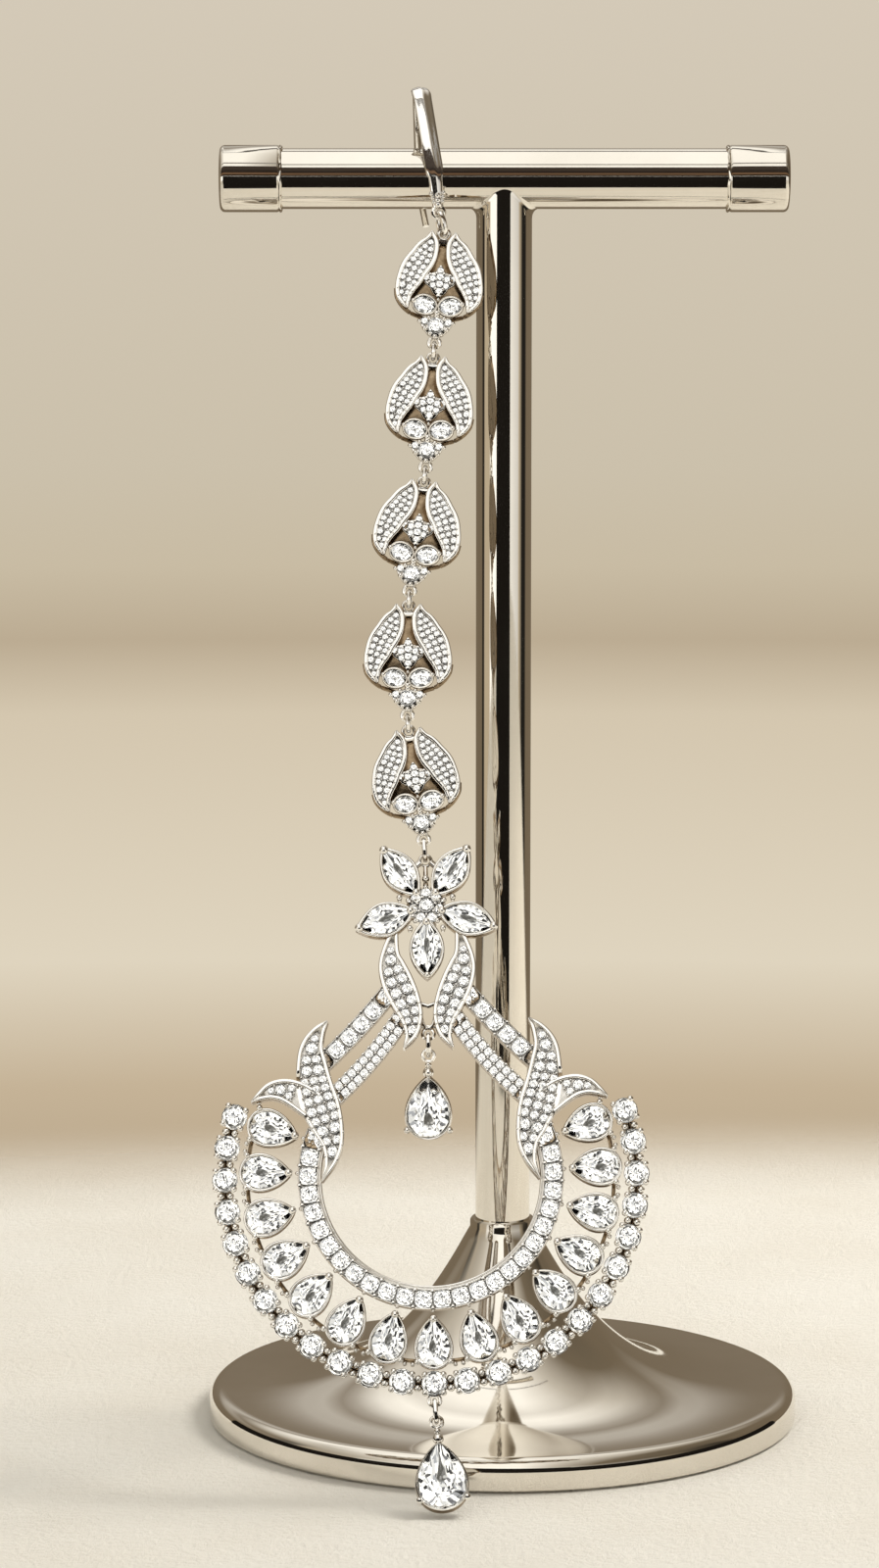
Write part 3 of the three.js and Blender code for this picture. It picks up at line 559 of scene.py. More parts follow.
SMALL_TIER = (0.45, 0.6)
LARGE_CUT = {"tier": (0.62, 0.62), "window": 0.42, "front": LARGE_CROWN}
CUSHION_GEM = gem_template(cushion_outline, 8, 0.55, 0.28, 0.4, tier=SMALL_TIER, window=0.08)
ROUND_GEM = gem_template(round_outline(1), 8, 0.55, 0.3, 0.42, tier=SMALL_TIER, window=0.05)
SMALL_GEM = gem_template(round_outline(1), 6, 0.56, 0.3, 0.42, tier=SMALL_TIER, window=0.05)
SMALL_BEAD = ball(1, 6, 4)
SIDE_BEAD = ball(1, 8, 5)


def wobble(most=STONE_TILT):
    return rng.uniform(-most, most), rng.uniform(-most, most)


def set_stone(mould, template, x, z, y, radius, tilt=5.0):
    lean = wobble(tilt)
    mould.stamp(template, at(x, z, y, radius, rng.uniform(0, STONE_SPIN), lean))


def pave(metal, stones, run, y, size, start=0.0, end=None, inset=RIM, bead=BEAD, template=None):
    """Rows of small stones across a strip, each as large as its row allows, with beads at their corners."""
    end = run.length if end is None else end
    distance = start
    while distance < end:
        x, z, half, ax, az = run.at(distance)
        width = 2 * (half - inset)
        if width < size * PAVE_NARROWEST:
            distance += PAVE_STEP
            continue
        count = max(1, round(width / size))
        radius = min(width / count / 2, size * PAVE_LARGEST)
        centre = distance + radius
        if centre + radius * 0.6 > end:
            break
        x, z, half, ax, az = run.at(centre)
        gap = 2 * radius
        for i in range(count):
            u = (i - (count - 1) / 2) * gap
            if template is None:
                set_stone(stones, SMALL_GEM, x + ax * u, z + az * u, y, radius * 1.02)
            else:
                spin = math.degrees(math.atan2(-az, ax))
                stones.stamp(template, at(x + ax * u, z + az * u, y, radius * 0.96, -spin, wobble()))
        x, z, half, ax, az = run.at(min(centre + radius, run.length))
        for i in range(count + 1):
            u = (i - count / 2) * gap
            metal.stamp(SMALL_BEAD, at(x + ax * u, z + az * u, y - 0.06, bead))
        distance = centre + radius * 1.02


def on_circle(radius, degrees):
    return radius * math.sin(math.radians(degrees)), -radius * math.cos(math.radians(degrees))


def hang_matrix(point, how):
    lean, sway, turn = (math.radians(v) for v in how)
    turned = Matrix.Rotation(-lean, 4, "X") @ Matrix.Rotation(sway, 4, "Y") @ Matrix.Rotation(turn, 4, "Z")
    return Matrix.Translation(point) @ turned


def places():
    """Where each piece hangs, in millimetres, worked out down the chain as in the solids."""
    found = {}

    def hang(name, point, how, drop):
        found[name] = hang_matrix(point, how)
        return found[name] @ Vector((0, 0, -drop))

    def between(a, b):
        return (a[0] + b[0]) / 2, (a[1] + b[1]) / 2, 0

    eye = Vector((HOOK_X, -HOOK_REACH * math.cos(math.radians(HOOK_TURN)), 0))
    hang("hook", eye, HOOK_HANG, 0)
    below = hang("hook_ring", eye, HOOK_RING_HANG, HOOK_RING_DROP)
    for i, how in enumerate(LINK_HANGS):
        below = hang(f"link_{i + 1}", below, how, LINK_DROP)
        last = i + 1 == len(LINK_HANGS)
        following = PENDANT_HANG if last else LINK_HANGS[i + 1]
        drop = PENDANT_RING_DROP if last else RING_DROP
        below = hang(f"ring_{i + 1}", below, between(how, following), drop)
    top = hang_matrix(below, PENDANT_HANG)
    found["crescent"] = top @ at(0, -TOP_EYE_HEIGHT)
    for name, height, how, drop in (("centre", CENTRE_EYE_HEIGHT, CENTRE_DROP_HANG, CENTRE_DROP),
                                    ("lower", -LOWER_EYE_DEPTH, LOWER_DROP_HANG, LOWER_DROP)):
        start = found["crescent"] @ Vector((0, 0, height))
        neck = hang(f"{name}_drop_ring", start, how, DROP_LINK_DROP)
        lowest = hang(f"{name}_drop", neck, how, EYE_RADIUS + DROP_NECK + drop["length"])
    dip = DROP_BACK * math.sin(math.radians(LOWER_DROP_HANG[0]))
    raise_by = DROP_FLOOR_GAP + dip - lowest.z
    sway = math.radians(HOOK_HANG[1])
    side = HOOK_REACH * math.sin(math.radians(HOOK_TURN)) * math.sin(sway)
    for name in found:
        found[name] = Matrix.Translation((0, 0, raise_by)) @ found[name]
    return found, raise_by + HOOK_BAR_UP * math.cos(sway) + side


PLACES, BAR_HEIGHT = places()


# Finishes

def filled(node, values):
    for key, value in values.items():
        node.inputs[key].default_value = value
    return node


def shader(name, values):
    """A material whose surface shader has these constant values."""
    material = bpy.data.materials.new(name)
    material.use_nodes = True
    tree = material.node_tree
    return material, tree, filled(tree.nodes["Principled BSDF"], values)


def link(tree, a, b):
    tree.links.new(a, b)


def noise(tree, scale, detail=3.0, rough=0.5):
    where = tree.nodes.new("ShaderNodeTexCoord")
    values = {"Scale": scale, "Detail": detail, "Roughness": rough}
    node = filled(tree.nodes.new("ShaderNodeTexNoise"), values)
    link(tree, where.outputs["Object"], node.inputs["Vector"])
    return node.outputs["Fac"]


def ranged(tree, value, low, high, from_low=0.3, from_high=0.7):
    values = {"From Min": from_low, "From Max": from_high, "To Min": low, "To Max": high}
    node = filled(tree.nodes.new("ShaderNodeMapRange"), values)
    link(tree, value, node.inputs["Value"])
    return node.outputs["Result"]


def mixed(tree, value, first, second):
    node = tree.nodes.new("ShaderNodeMix")
    node.data_type = "RGBA"
    filled(node, {"A": (*first, 1), "B": (*second, 1)})
    link(tree, value, node.inputs["Factor"])
    return node.outputs["Result"]


def bumped(tree, base, value, strength, distance):
    node = filled(tree.nodes.new("ShaderNodeBump"), {"Strength": strength, "Distance": distance})
    link(tree, value, node.inputs["Height"])
    link(tree, node.outputs["Normal"], base.inputs["Normal"])


def polished_silver():
    """White rhodium-plated metal: mirror bright, with a faint warm cast and hand-polished unevenness."""
    material, tree, base = shader("polished_silver", {"Metallic": 1.0})
    cast = ranged(tree, noise(tree, 900, 2), 0, 1)
    link(tree, mixed(tree, cast, (0.97, 0.955, 0.925), (0.93, 0.91, 0.875)), base.inputs["Base Color"])
    link(tree, ranged(tree, noise(tree, 2600, 4), 0.05, 0.13), base.inputs["Roughness"])
    bumped(tree, base, noise(tree, 1500, 3), 0.12, WEAR_DEPTH)
    return material


def dull_metal_or_painted_shade(name, first, second, roughness):
    """Duller metal, its colour varying at random between two tones. The tray floors use it as their own matte
    finish; on the side walls its dark brown is painted shade.
    """
    material, tree, base = shader(name, {"Metallic": 1.0})
    cast = ranged(tree, noise(tree, 2500, 3), 0, 1)
    link(tree, mixed(tree, cast, first, second), base.inputs["Base Color"])
    link(tree, ranged(tree, noise(tree, 1800, 4), roughness * 0.8, roughness * 1.3), base.inputs["Roughness"])
    bumped(tree, base, noise(tree, 3000, 3), 0.2, WEAR_DEPTH)
    return material


def gem_crown(name, cool, warm):
    clear = {"Roughness": 0.0, "IOR": STONE_IOR, "Transmission Weight": 1.0}
    material, tree, base = shader(name, clear)
    link(tree, mixed(tree, noise(tree, 700, 2), cool, warm), base.inputs["Base Color"])
    return material


def gem_mirror():
    """The facets behind, which throw the light back as in a well-cut stone."""
    material, tree, base = shader("stone_back_facets", {"Metallic": 1.0, "Roughness": 0.045})
    cast = noise(tree, 900, 2)
    link(tree, mixed(tree, cast, (0.98, 0.975, 0.96), (0.9, 0.9, 0.9)), base.inputs["Base Color"])
    return material


def polished_nickel():
    """The stand: mirror-polished, warm, with faint wiping marks."""
    material, tree, base = shader("polished_nickel", {"Metallic": 1.0})
    smudge = ranged(tree, noise(tree, 60, 5, 0.65), 0, 1)
    link(tree, mixed(tree, smudge, (0.82, 0.78, 0.71), (0.75, 0.71, 0.64)), base.inputs["Base Color"])
    link(tree, ranged(tree, noise(tree, 140, 6, 0.7), 0.025, 0.075), base.inputs["Roughness"])
    bumped(tree, base, noise(tree, 55, 2), 0.03, 0.0004)
    return material


def pale_cloth():
    """Napped cream cloth. It fades out at the table's far rim, as the photograph's does out of focus."""
    material, tree, base = shader("pale_cloth", {"Roughness": 0.95, "Sheen Weight": 0.25})
    near, far = (0.86, 0.83, 0.76), (0.78, 0.73, 0.64)
    mottle = ranged(tree, noise(tree, 28, 5, 0.6), 0, 1, 0.25, 0.75)
    link(tree, mixed(tree, mottle, near, far), base.inputs["Base Color"])
    bumped(tree, base, noise(tree, 900, 6, 0.75), 0.8, 0.0012)
    where = tree.nodes.new("ShaderNodeTexCoord")
    reach = tree.nodes.new("ShaderNodeVectorMath")
    reach.operation = "DISTANCE"
    reach.inputs[1].default_value = (TABLE_PLACE[0] * MM, TABLE_PLACE[1] * MM, 0)
    link(tree, where.outputs["Object"], reach.inputs[0])
    edge = TABLE_RADIUS * MM
    fade = ranged(tree, reach.outputs["Value"], 1, 0, edge - TABLE_FADE * MM, edge)
    fade.node.interpolation_type = "SMOOTHSTEP"
    link(tree, fade, base.inputs["Alpha"])
    return material


SILVER, BACKING, NICKEL = polished_silver(), gem_mirror(), polished_nickel()
CLEAR = gem_crown("clear_stone", (0.975, 0.98, 0.98), (1.0, 0.99, 0.965))
# A greyer copy of the clear stone for the large stones: its grey tint is painted shade that dims them.
LARGE_CLEAR = gem_crown("large_clear_stone", (0.86, 0.87, 0.865), (0.93, 0.915, 0.885))
FLOOR_METAL = dull_metal_or_painted_shade("tray_floor", (0.95, 0.935, 0.9), (0.82, 0.79, 0.74), 0.34)
# Dark brown painted shade for the side walls, the gallery wires and the plate seen through the openings.
WALL_SHADE_METAL = dull_metal_or_painted_shade("side_walls_painted_shade", (0.38, 0.29, 0.19), (0.25, 0.18, 0.11), 0.2)
JEWEL = [SILVER, CLEAR, BACKING, FLOOR_METAL, WALL_SHADE_METAL, LARGE_CLEAR]


# Stand

def turned_up(profile, sides=TEE_SIDES):
    """A body turned about Z, from (radius, z) points that start and end on the axis."""
    mould = lathe(profile, sides)
    mould.points = [np.stack([p[:, 0], -p[:, 2], p[:, 1]], 1) for p in mould.points]
    return mould


def rounded(corner, radius, start, end, steps=5):
    """Points on a quarter round from start to end degrees about a (radius, height) centre."""
    return [(corner[0] + radius * math.cos(math.radians(a)), corner[1] + radius * math.sin(math.radians(a)))
            for a in np.linspace(start, end, steps)]


def stand_base():
    edge = BASE_EDGE_ROUND
    inner = BASE_RADIUS - edge * FLARE_INSET
    flare = [(inner - s * (inner - COLLAR_RADIUS), BASE_EDGE_HEIGHT + FLARE_HEIGHT * s ** FLARE_POWER)
             for s in np.linspace(0, 1, 44)]
    top = BASE_EDGE_HEIGHT + FLARE_HEIGHT + COLLAR_HEIGHT
    profile = [(0, 0), (BASE_RADIUS - BASE_FOOT_CUT[0], 0), (BASE_RADIUS, BASE_FOOT_CUT[1])]
    profile += rounded((BASE_RADIUS - edge, BASE_EDGE_HEIGHT - edge), edge, 0, 90, 7) + flare
    profile += [(COLLAR_RADIUS, top - 0.25), (COLLAR_RADIUS - 0.2, top), (0, top)]
    return make("display_base", turned_up(profile, BASE_SIDES), [NICKEL], None, ["stand_base"])


def along_x(mould, side, x):
    """Lays a body turned about Z along the bar."""
    mould.points = [np.stack([x + side * p[:, 2], p[:, 1], BAR_HEIGHT + p[:, 0]], 1) for p in mould.points]
    return mould


def stand_tee():
    foot = BASE_EDGE_HEIGHT + FLARE_HEIGHT + COLLAR_HEIGHT
    half = BAR_LENGTH / 2 - CAP_LENGTH
    top = BAR_HEIGHT - BAR_RADIUS * POST_SINK
    post = turned_up([(0, foot), (POST_RADIUS, foot), (POST_RADIUS, top), (0, top)])
    bar = along_x(turned_up([(0, -half), (BAR_RADIUS, -half), (BAR_RADIUS, half), (0, half)]), 1, 0)
    fillet = Mould()
    rings = []
    for lift in np.linspace(0, 1, 7):
        ring = []
        for a in np.linspace(0, 2 * math.pi, TEE_SIDES, endpoint=False):
            swell = FILLET * (1 - math.cos(lift * math.pi / 2)) * abs(math.cos(a))
            x, y = (POST_RADIUS + SKIN + swell) * math.cos(a), (POST_RADIUS + SKIN) * math.sin(a)
            under = math.sqrt(BAR_RADIUS ** 2 - y * y)
            fall = FILLET_DROP[0] + FILLET_DROP[1] * abs(math.cos(a))
            fall *= 1 - math.sin(lift * math.pi / 2)
            ring.append((x, y, BAR_HEIGHT - under - fall + FILLET_LIFT))
        rings.append(np.array(ring))
    fillet.add(*joined_rings(rings))
    mould = Mould().stamp(post).stamp(bar).stamp(fillet)
    return make("display_tee", mould, [NICKEL], None, ["stand_tee"])


def bar_cap(side, name, node):
    lip = CAP_ROUND
    profile = [(0, 0.02), (CAP_RADIUS - 0.35, 0.02), (CAP_RADIUS - 0.1, 0.12), (CAP_RADIUS, 0.35)]
    profile += [(CAP_RADIUS, CAP_LENGTH - lip)] + rounded((CAP_RADIUS - lip, CAP_LENGTH - lip), lip, 0, 90, 6)
    profile += [(0, CAP_LENGTH)]
    mould = turned_up(profile)
    crimp = []
    for a in np.linspace(0, 2 * math.pi, 96, endpoint=False):
        radius = CAP_RADIUS - 0.13 + 0.05 * math.sin(9 * a)
        wave = 0.06 * math.sin(7 * a) + 0.05 * math.sin(12 * a + 1)
        crimp.append((radius * math.cos(a), radius * math.sin(a), wave - 0.06))
    mould.stamp(tube(crimp, CRIMP_WIRE, WIRE_SIDES, closed=True))
    along_x(mould, side, side * (BAR_LENGTH / 2 - CAP_LENGTH))
    return make(name, mould, [NICKEL], None, [node])


# Hook

def hook_line():
    flank = math.asin((HOOK_REACH - HOOK_TOP_RADIUS) / HOOK_RISE)

    def arc(up, radius, start, end, steps):
        return [(HOOK_REACH - radius * math.cos(a), up + radius * math.sin(a))
                for a in np.linspace(start, end, steps)]

    line = [(0, EYE_HOLE_RADIUS + 0.1), (0.0, HOOK_BAR_UP * 0.5)]
    line += arc(HOOK_BAR_UP, HOOK_REACH, 0, flank, 8)
    line += arc(HOOK_BAR_UP + HOOK_RISE, HOOK_TOP_RADIUS, flank, math.pi - flank, 24)
    line += arc(HOOK_BAR_UP, HOOK_REACH, math.pi - flank, math.pi, 8)
    line += [(2 * HOOK_REACH - HOOK_TAIL * a, HOOK_BAR_UP - HOOK_TAIL * b)
             for a, b in ((0.02, 0.35), (0.06, 0.55), (0.12, 0.7), (0.2, 0.88), (0.26, 1.0))]
    return line


def hook():
    line = hook_line()
    share = np.linspace(0, 1, len(line))
    widths, thick, ridge = (np.interp(share, *zip(*rows)) for rows in (HOOK_WIDTHS, HOOK_THICK, HOOK_RIDGE))
    mould = tube([(0, b, u) for b, u in line], thick / (1 + ridge), 36, flat=widths, ridge=ridge)
    mould.stamp(loop(EYE_HOLE_RADIUS + EYE_WIRE, EYE_WIRE))
    collar_up = EYE_HOLE_RADIUS + EYE_WIRE * 2
    for i in range(3):
        mould.bead(0, collar_up + 0.5 * i, -0.16, 0.5 - 0.06 * i, 10, 6)
        for side in (-1, 1):
            mould.bead(side * (0.5 + 0.1 * i), collar_up + 0.3 + 0.45 * i, -0.26, 0.26, 8, 5)
    return make("ear_hook_wire", mould, [SILVER], PLACES["hook"], ["ear_hook"])


def jump_ring(name, place, drop, node, wire=RING_WIRE):
    mould = loop(drop / 2, wire, 0, -drop / 2, edge_on=True)
    squeeze = Matrix.Diagonal((1, RING_DROP / drop, 1, 1))
    return make(name, Mould().stamp(mould, squeeze), [SILVER], PLACES[place], [node])


def make_set(name, metal, stones, place, nodes, stone_nodes=(), stone_name="stones"):
    """The metal and the stones of one part."""
    make(f"{name}_metal", metal, JEWEL, PLACES[place], nodes)
    make(f"{name}_{stone_name}", stones, JEWEL, PLACES[place], stone_nodes)


# Chain links

def oval_petal(metal, stones, side):
    x, z, spin = side * 1.42, -7.9, side * 10
    wide, tall = 1.44, 1.16
    stone = gem_template(round_outline(wide * 0.86, tall * 0.84), 8, 0.5, 0.3, 0.45)
    wall = bezel(lambda inset: round_outline(wide - inset, tall - inset), 0.22, LINK_FRONT, LINK_BACK, 28)
    metal.stamp(wall, at(x, z, 0, 1, spin))
    stones.stamp(stone, at(x, z, -0.36, 1, spin, wobble()))


def mirrored(points):
    """A closed outline from the half on the right, given from its top to its foot."""
    return points + [(-x, z) for x, z in reversed(points) if abs(x) > 1e-6]


def both_sides(rows):
    """Each (x, z, radius), and its mirror image where it is off the middle."""
    for x, z, radius in rows:
        for side in ((-1, 1) if x else (1,)):
            yield side * x, z, radius


def spray(metal, stones):
    """The small three-petalled cluster between the leaves."""
    half = [(0, -3.55), (0.55, -4.1), (1.2, -4.3), (2.15, -4.75), (1.65, -5.5), (1.05, -5.95), (0.6, -6.7),
            (0, -7.1)]
    metal.stamp(plate(mirrored(half), SPRAY_FRONT, 0.35))
    # Stones and beads as (across, up, radius)
    spots = [(0, -3.98, 0.36), (0, -4.72, 0.44), (0, -5.5, 0.46), (0, -6.25, 0.42)]
    for side in (-1, 1):
        spots += [(side * 0.78, -4.95, 0.4), (side * 1.45, -4.9, 0.36), (side * 0.72, -5.7, 0.36)]
    for x, z, radius in spots:
        set_stone(stones, SMALL_GEM, x, z, -0.3, radius * 1.12)
    beads = [(0, -3.6, 0.22), (0, -6.82, 0.34), (2.02, -4.78, 0.3), (0.42, -4.36, 0.22), (1.1, -4.5, 0.22),
             (0.38, -5.05, 0.16), (1.14, -5.36, 0.22), (0.4, -6.05, 0.2)]
    for x, z, radius in both_sides(beads):
        metal.stamp(SMALL_BEAD, at(x, z, -0.3, radius))


def foot_cluster(metal, stones):
    half = [(0, -9.0), (0.8, -9.25), (1.85, -9.75), (1.45, -10.5), (0.8, -11.2), (0, -11.6)]
    metal.stamp(plate(mirrored(half), SPRAY_FRONT, 0.4))
    set_stone(stones, ROUND_GEM, 0, -10.15, -0.5, 0.92, 3)
    for side in (-1, 1):
        set_stone(stones, SMALL_GEM, side * 1.3, -9.72, -0.34, 0.46)
    beads = [(0, -9.05, 0.36), (1.85, -9.76, 0.26), (0.85, -9.3, 0.28), (1.2, -10.5, 0.3),
             (0.62, -11.05, 0.26), (0, -11.35, 0.3)]
    for x, z, radius in both_sides(beads):
        metal.bead(x, z, -0.38, radius)


def gallery_floor():
    """A plate inside the link, seen through the openings between its leaves; its dark brown front is painted
    shade.
    """
    half = [(0.3, -0.9), (0.7, -2.4), (1.5, -4.0), (3.0, -5.6), (3.3, -7.2), (2.2, -8.6), (0, -8.8)]
    floor = plate([(0, -0.9)] + half + [(-x, z) for x, z in reversed(half[:-1])], 0.3, LINK_BACK, 0.02)
    floor.finish = [WALL] * (len(floor.finish) - 2) + [METAL, WALL]
    return floor


def chain_link(index):
    metal, stones = Mould(), Mould()
    run = scaled_run(LINK_LEAF, LINK_HALF_WIDTH, LINK_LEAF_HEIGHT)
    leaf, gems = tray(run, LINK_FRONT, LINK_BACK, LINK_RIM, 44), Mould()
    pave(leaf, gems, run, -LINK_FRONT + 0.1, LINK_PAVE, 0.7, run.length - 0.3, LINK_RIM * 0.92, LINK_BEAD)
    metal.pair(leaf)
    stones.pair(gems)
    gallery = [(4.75, 0.3, -6.3), (4.55, 0.3, -7.3), (3.9, 0.32, -8.2), (3.0, 0.34, -8.85), (2.0, 0.34, -9.2),
               (0.9, 0.3, -9.6)]
    for side in (-1, 1):
        # The gallery wires take WALL: painted shade.
        metal.wire(catmull([(side * x, y, z) for x, y, z in gallery], 6), 0.24, finish=WALL)
        metal.bead(side * 2.68, -7.55, -0.4, 0.33)
        metal.bead(side * 1.3, 0.02, -0.35, 0.24)
        oval_petal(metal, stones, side)
    yoke = [(-1.25, -0.15, -0.45), (-0.75, -0.2, -0.78), (0, -0.2, -0.9), (0.75, -0.2, -0.78),
            (1.25, -0.15, -0.45)]
    metal.wire(catmull(yoke, 5), 0.24)
    metal.wire([(-1.2, 0.2, -0.75), (1.2, 0.2, -0.75)], 0.22)
    metal.eye()
    metal.eye(-LINK_DROP)
    spray(metal, stones)
    metal.stamp(gallery_floor())
    metal.wire([(0, 0.2, -6.5), (0, 0.25, -10.0)], 0.26)
    for z, radius in ((-7.25, 0.2), (-8.75, 0.36)):
        metal.bead(0, z, -0.45, radius)
    foot_cluster(metal, stones)
    make_set(f"link_{index}", metal, stones, f"link_{index}", [f"chain_link_{index}"])


# Pendant

def arm_run(row):
    from_across, from_up, to_across, to_up, bow = row
    a = np.array([from_across, from_up]) * FLOWER_HEIGHT
    b = np.array([to_across, to_up]) * BAND_RADIUS
    rows = []
    for t in np.linspace(0, 1, 9):
        lift = 4 * bow * t * (1 - t)
        x, z = a + (b - a) * t
        rows.append((x + (b - a)[1] * lift, z - (b - a)[0] * lift, ARM_WIDTH / 2))
    return Run(rows)


def arc_run(radius, half, end, count=90):
    return Run([(*on_circle(radius, a), half) for a in np.linspace(-end, end, count)])


def scrolls():
    metal, stones = Mould(), Mould()
    horn = scaled_run(SCROLL_HORN, BAND_RADIUS, BAND_RADIUS)
    lobe = scaled_run(SCROLL_LOBE, BAND_RADIUS, BAND_RADIUS)
    metal.stamp(tray(horn, RELIEF_FRONT, FRAME_BACK, RIM, 56, open_side=(-1, 0.33, 0.58)))
    metal.stamp(tray(lobe, RELIEF_FRONT - 0.02, FRAME_BACK, RIM, 34))
    y = -RELIEF_FRONT + PAVE_SINK
    pave(metal, stones, horn, y, RELIEF_PAVE, 0.6, horn.length - 0.6, RIM * 0.9, RELIEF_BEAD)
    pave(metal, stones, lobe, y, LOBE_PAVE, 0.5, lobe.length - 1.9, RIM * 0.9, RELIEF_BEAD)
    return metal, stones


def arms():
    metal, stones = Mould(), Mould()
    for row, size in zip(ARMS, ARM_PAVE):
        run = arm_run(row)
        metal.stamp(tray(run, BAND_FRONT, FRAME_BACK, FINE_RIM, 20, blunt=True))
        pave(metal, stones, run, -BAND_FRONT + 0.06, size, 0.15, run.length, 0.1, BEAD, CUSHION_GEM)
    return metal, stones


def flower_leaves():
    metal, stones = Mould(), Mould()
    run = scaled_run(FLOWER_LEAF, FLOWER_HEIGHT, FLOWER_HEIGHT)
    metal.stamp(tray(run, RELIEF_FRONT, FRAME_BACK, RIM, 48))
    y = -RELIEF_FRONT + PAVE_SINK
    pave(metal, stones, run, y, RELIEF_PAVE, 0.5, run.length - 0.6, RIM * 0.9, RELIEF_BEAD)
    return metal, stones


def inner_band(metal, stones):
    run = arc_run(BAND_RADIUS, BAND_WIDTH / 2, BAND_END)
    metal.stamp(tray(run, BAND_FRONT, FRAME_BACK, FINE_RIM, 120, blunt=True))
    edge = arc_run(BAND_RADIUS - BAND_WIDTH / 2 + 0.18, 0.26, BAND_END)
    metal.stamp(tray(edge, BAND_FRONT + 0.04, FRAME_BACK, 0.25, 120))
    pitch = 2 * BAND_END / BAND_STONES
    radius = 0.5 * math.radians(pitch) * BAND_RADIUS * 0.97
    for i in range(BAND_STONES):
        degrees = -BAND_END + pitch * (i + 0.5)
        x, z = on_circle(BAND_RADIUS + 0.14, degrees)
        stones.stamp(CUSHION_GEM, at(x, z, -BAND_FRONT + 0.04, radius * 1.03, degrees, wobble()))
        for reach in (-0.72, 1.08):
            x, z = on_circle(BAND_RADIUS + reach, degrees + pitch / 2)
            metal.stamp(SMALL_BEAD, at(x, z, -BAND_FRONT - 0.02, 0.3))


def pear_ring(metal, stones):
    def wall(inset):
        return pear_outline(PEAR_LENGTH, PEAR_WIDTH, inset)
    setting = bezel(wall, STONE_WALL * 1.25, BAND_FRONT, FRAME_BACK, 48)
    belly = (0, PEAR_LENGTH * 0.4)
    stone = gem_template(wall(STONE_WALL * 1.2), 7, 0.62, 0.34, 0.52, belly, **LARGE_CUT)
    post = claw(PRONG, BAND_FRONT + 0.06, FRAME_BACK)
    tip_post = claw(0.46, BAND_FRONT + 0.1, FRAME_BACK)
    for i in range(PEAR_COUNT):
        degrees = (i - (PEAR_COUNT - 1) / 2) * PEAR_PITCH
        x, z = on_circle(PEAR_END, degrees)
        spot = at(x, z, 0, 1, degrees)
        metal.stamp(setting, spot)
        stones.stamp(stone, at(x, z, -BAND_FRONT + 0.1, 1, degrees, wobble()))
        for side in (-1, 1):
            metal.stamp(post, spot @ at(side * PEAR_WIDTH * 0.43, PEAR_LENGTH * 0.14))
            metal.stamp(SIDE_BEAD, spot @ at(side * PEAR_WIDTH * 0.55, PEAR_LENGTH * 0.1, -0.25, 0.27))
        metal.stamp(tip_post, spot @ at(0, PEAR_LENGTH - 0.36))
        metal.stamp(SIDE_BEAD, spot @ at(0, PEAR_LENGTH + PEAR_GAP * 0.9, -BAND_FRONT * 0.6, 0.26))
    for i in range(PEAR_COUNT - 1):
        degrees = (i + 1 - PEAR_COUNT / 2) * PEAR_PITCH
        tie = [on_circle(PEAR_END - PEAR_LENGTH * 0.16, degrees + shift) for shift in (-2.4, 0, 2.4)]
        # The ties take WALL: painted shade.
        metal.wire([(x, 0.42, z) for x, z in tie], 0.22, finish=WALL)


def flower(metal, stones):
    span = PETAL_REACH - PETAL_START

    def wall(inset):
        return marquise_outline(span, PETAL_WIDTH, inset)
    setting = bezel(wall, STONE_WALL * 1.1, PETAL_FRONT, 0.1, 48)
    stone = gem_template(wall(STONE_WALL * 1.05), 8, 0.6, 0.3, 0.42, **LARGE_CUT)
    tips = [claw(0.4, PETAL_FRONT + 0.1, 0.1)] + [claw(0.5, PETAL_FRONT + 0.12, 0.1)] * (PETAL_COUNT - 1)
    root = claw(0.46, PETAL_FRONT + 0.1, 0.1)
    notch = claw(PRONG, PETAL_FRONT - 0.1, 0.1)
    for i in range(PETAL_COUNT):
        degrees = 180 + i * 360 / PETAL_COUNT
        spot = at(0, FLOWER_HEIGHT, 0, 1, degrees) @ at(0, PETAL_START)
        metal.stamp(setting, spot)
        tilt = Matrix.Rotation(math.radians(rng.uniform(-STONE_TILT, STONE_TILT)), 4, "X")
        stones.stamp(stone, spot @ Matrix.Translation((0, -PETAL_FRONT + 0.12, 0)) @ tilt)
        metal.stamp(tips[i], spot @ at(0, span - 0.42))
        metal.stamp(root, spot @ at(0, 0.5))
        side = at(0, FLOWER_HEIGHT, 0, 1, degrees + 180 / PETAL_COUNT)
        metal.stamp(notch, side @ at(0, PETAL_START + 1.75))
        metal.stamp(SIDE_BEAD, side @ at(0, PETAL_START + 0.75, -PETAL_FRONT + 0.1, 0.3))
    cup = [(0, FRAME_BACK), (1.9, FRAME_BACK), (2.2, 0.2), (1.8, -PETAL_FRONT + 0.4),
           (0, -PETAL_FRONT + 0.25)]
    metal.stamp(lathe(cup, 28), at(0, FLOWER_HEIGHT))
    set_stone(stones, ROUND_GEM, 0, FLOWER_HEIGHT, -PETAL_FRONT - 0.15, 0.82)
    for i in range(HEART_COUNT):
        for reach, size, shift, is_stone in HEART_RINGS:
            a = 2 * math.pi * (i + shift) / HEART_COUNT
            x, z = reach * math.sin(a), FLOWER_HEIGHT + reach * math.cos(a)
            if is_stone:
                set_stone(stones, SMALL_GEM, x, z, -PETAL_FRONT + 0.02, size)
            else:
                metal.stamp(SMALL_BEAD, at(x, z, -PETAL_FRONT, size))


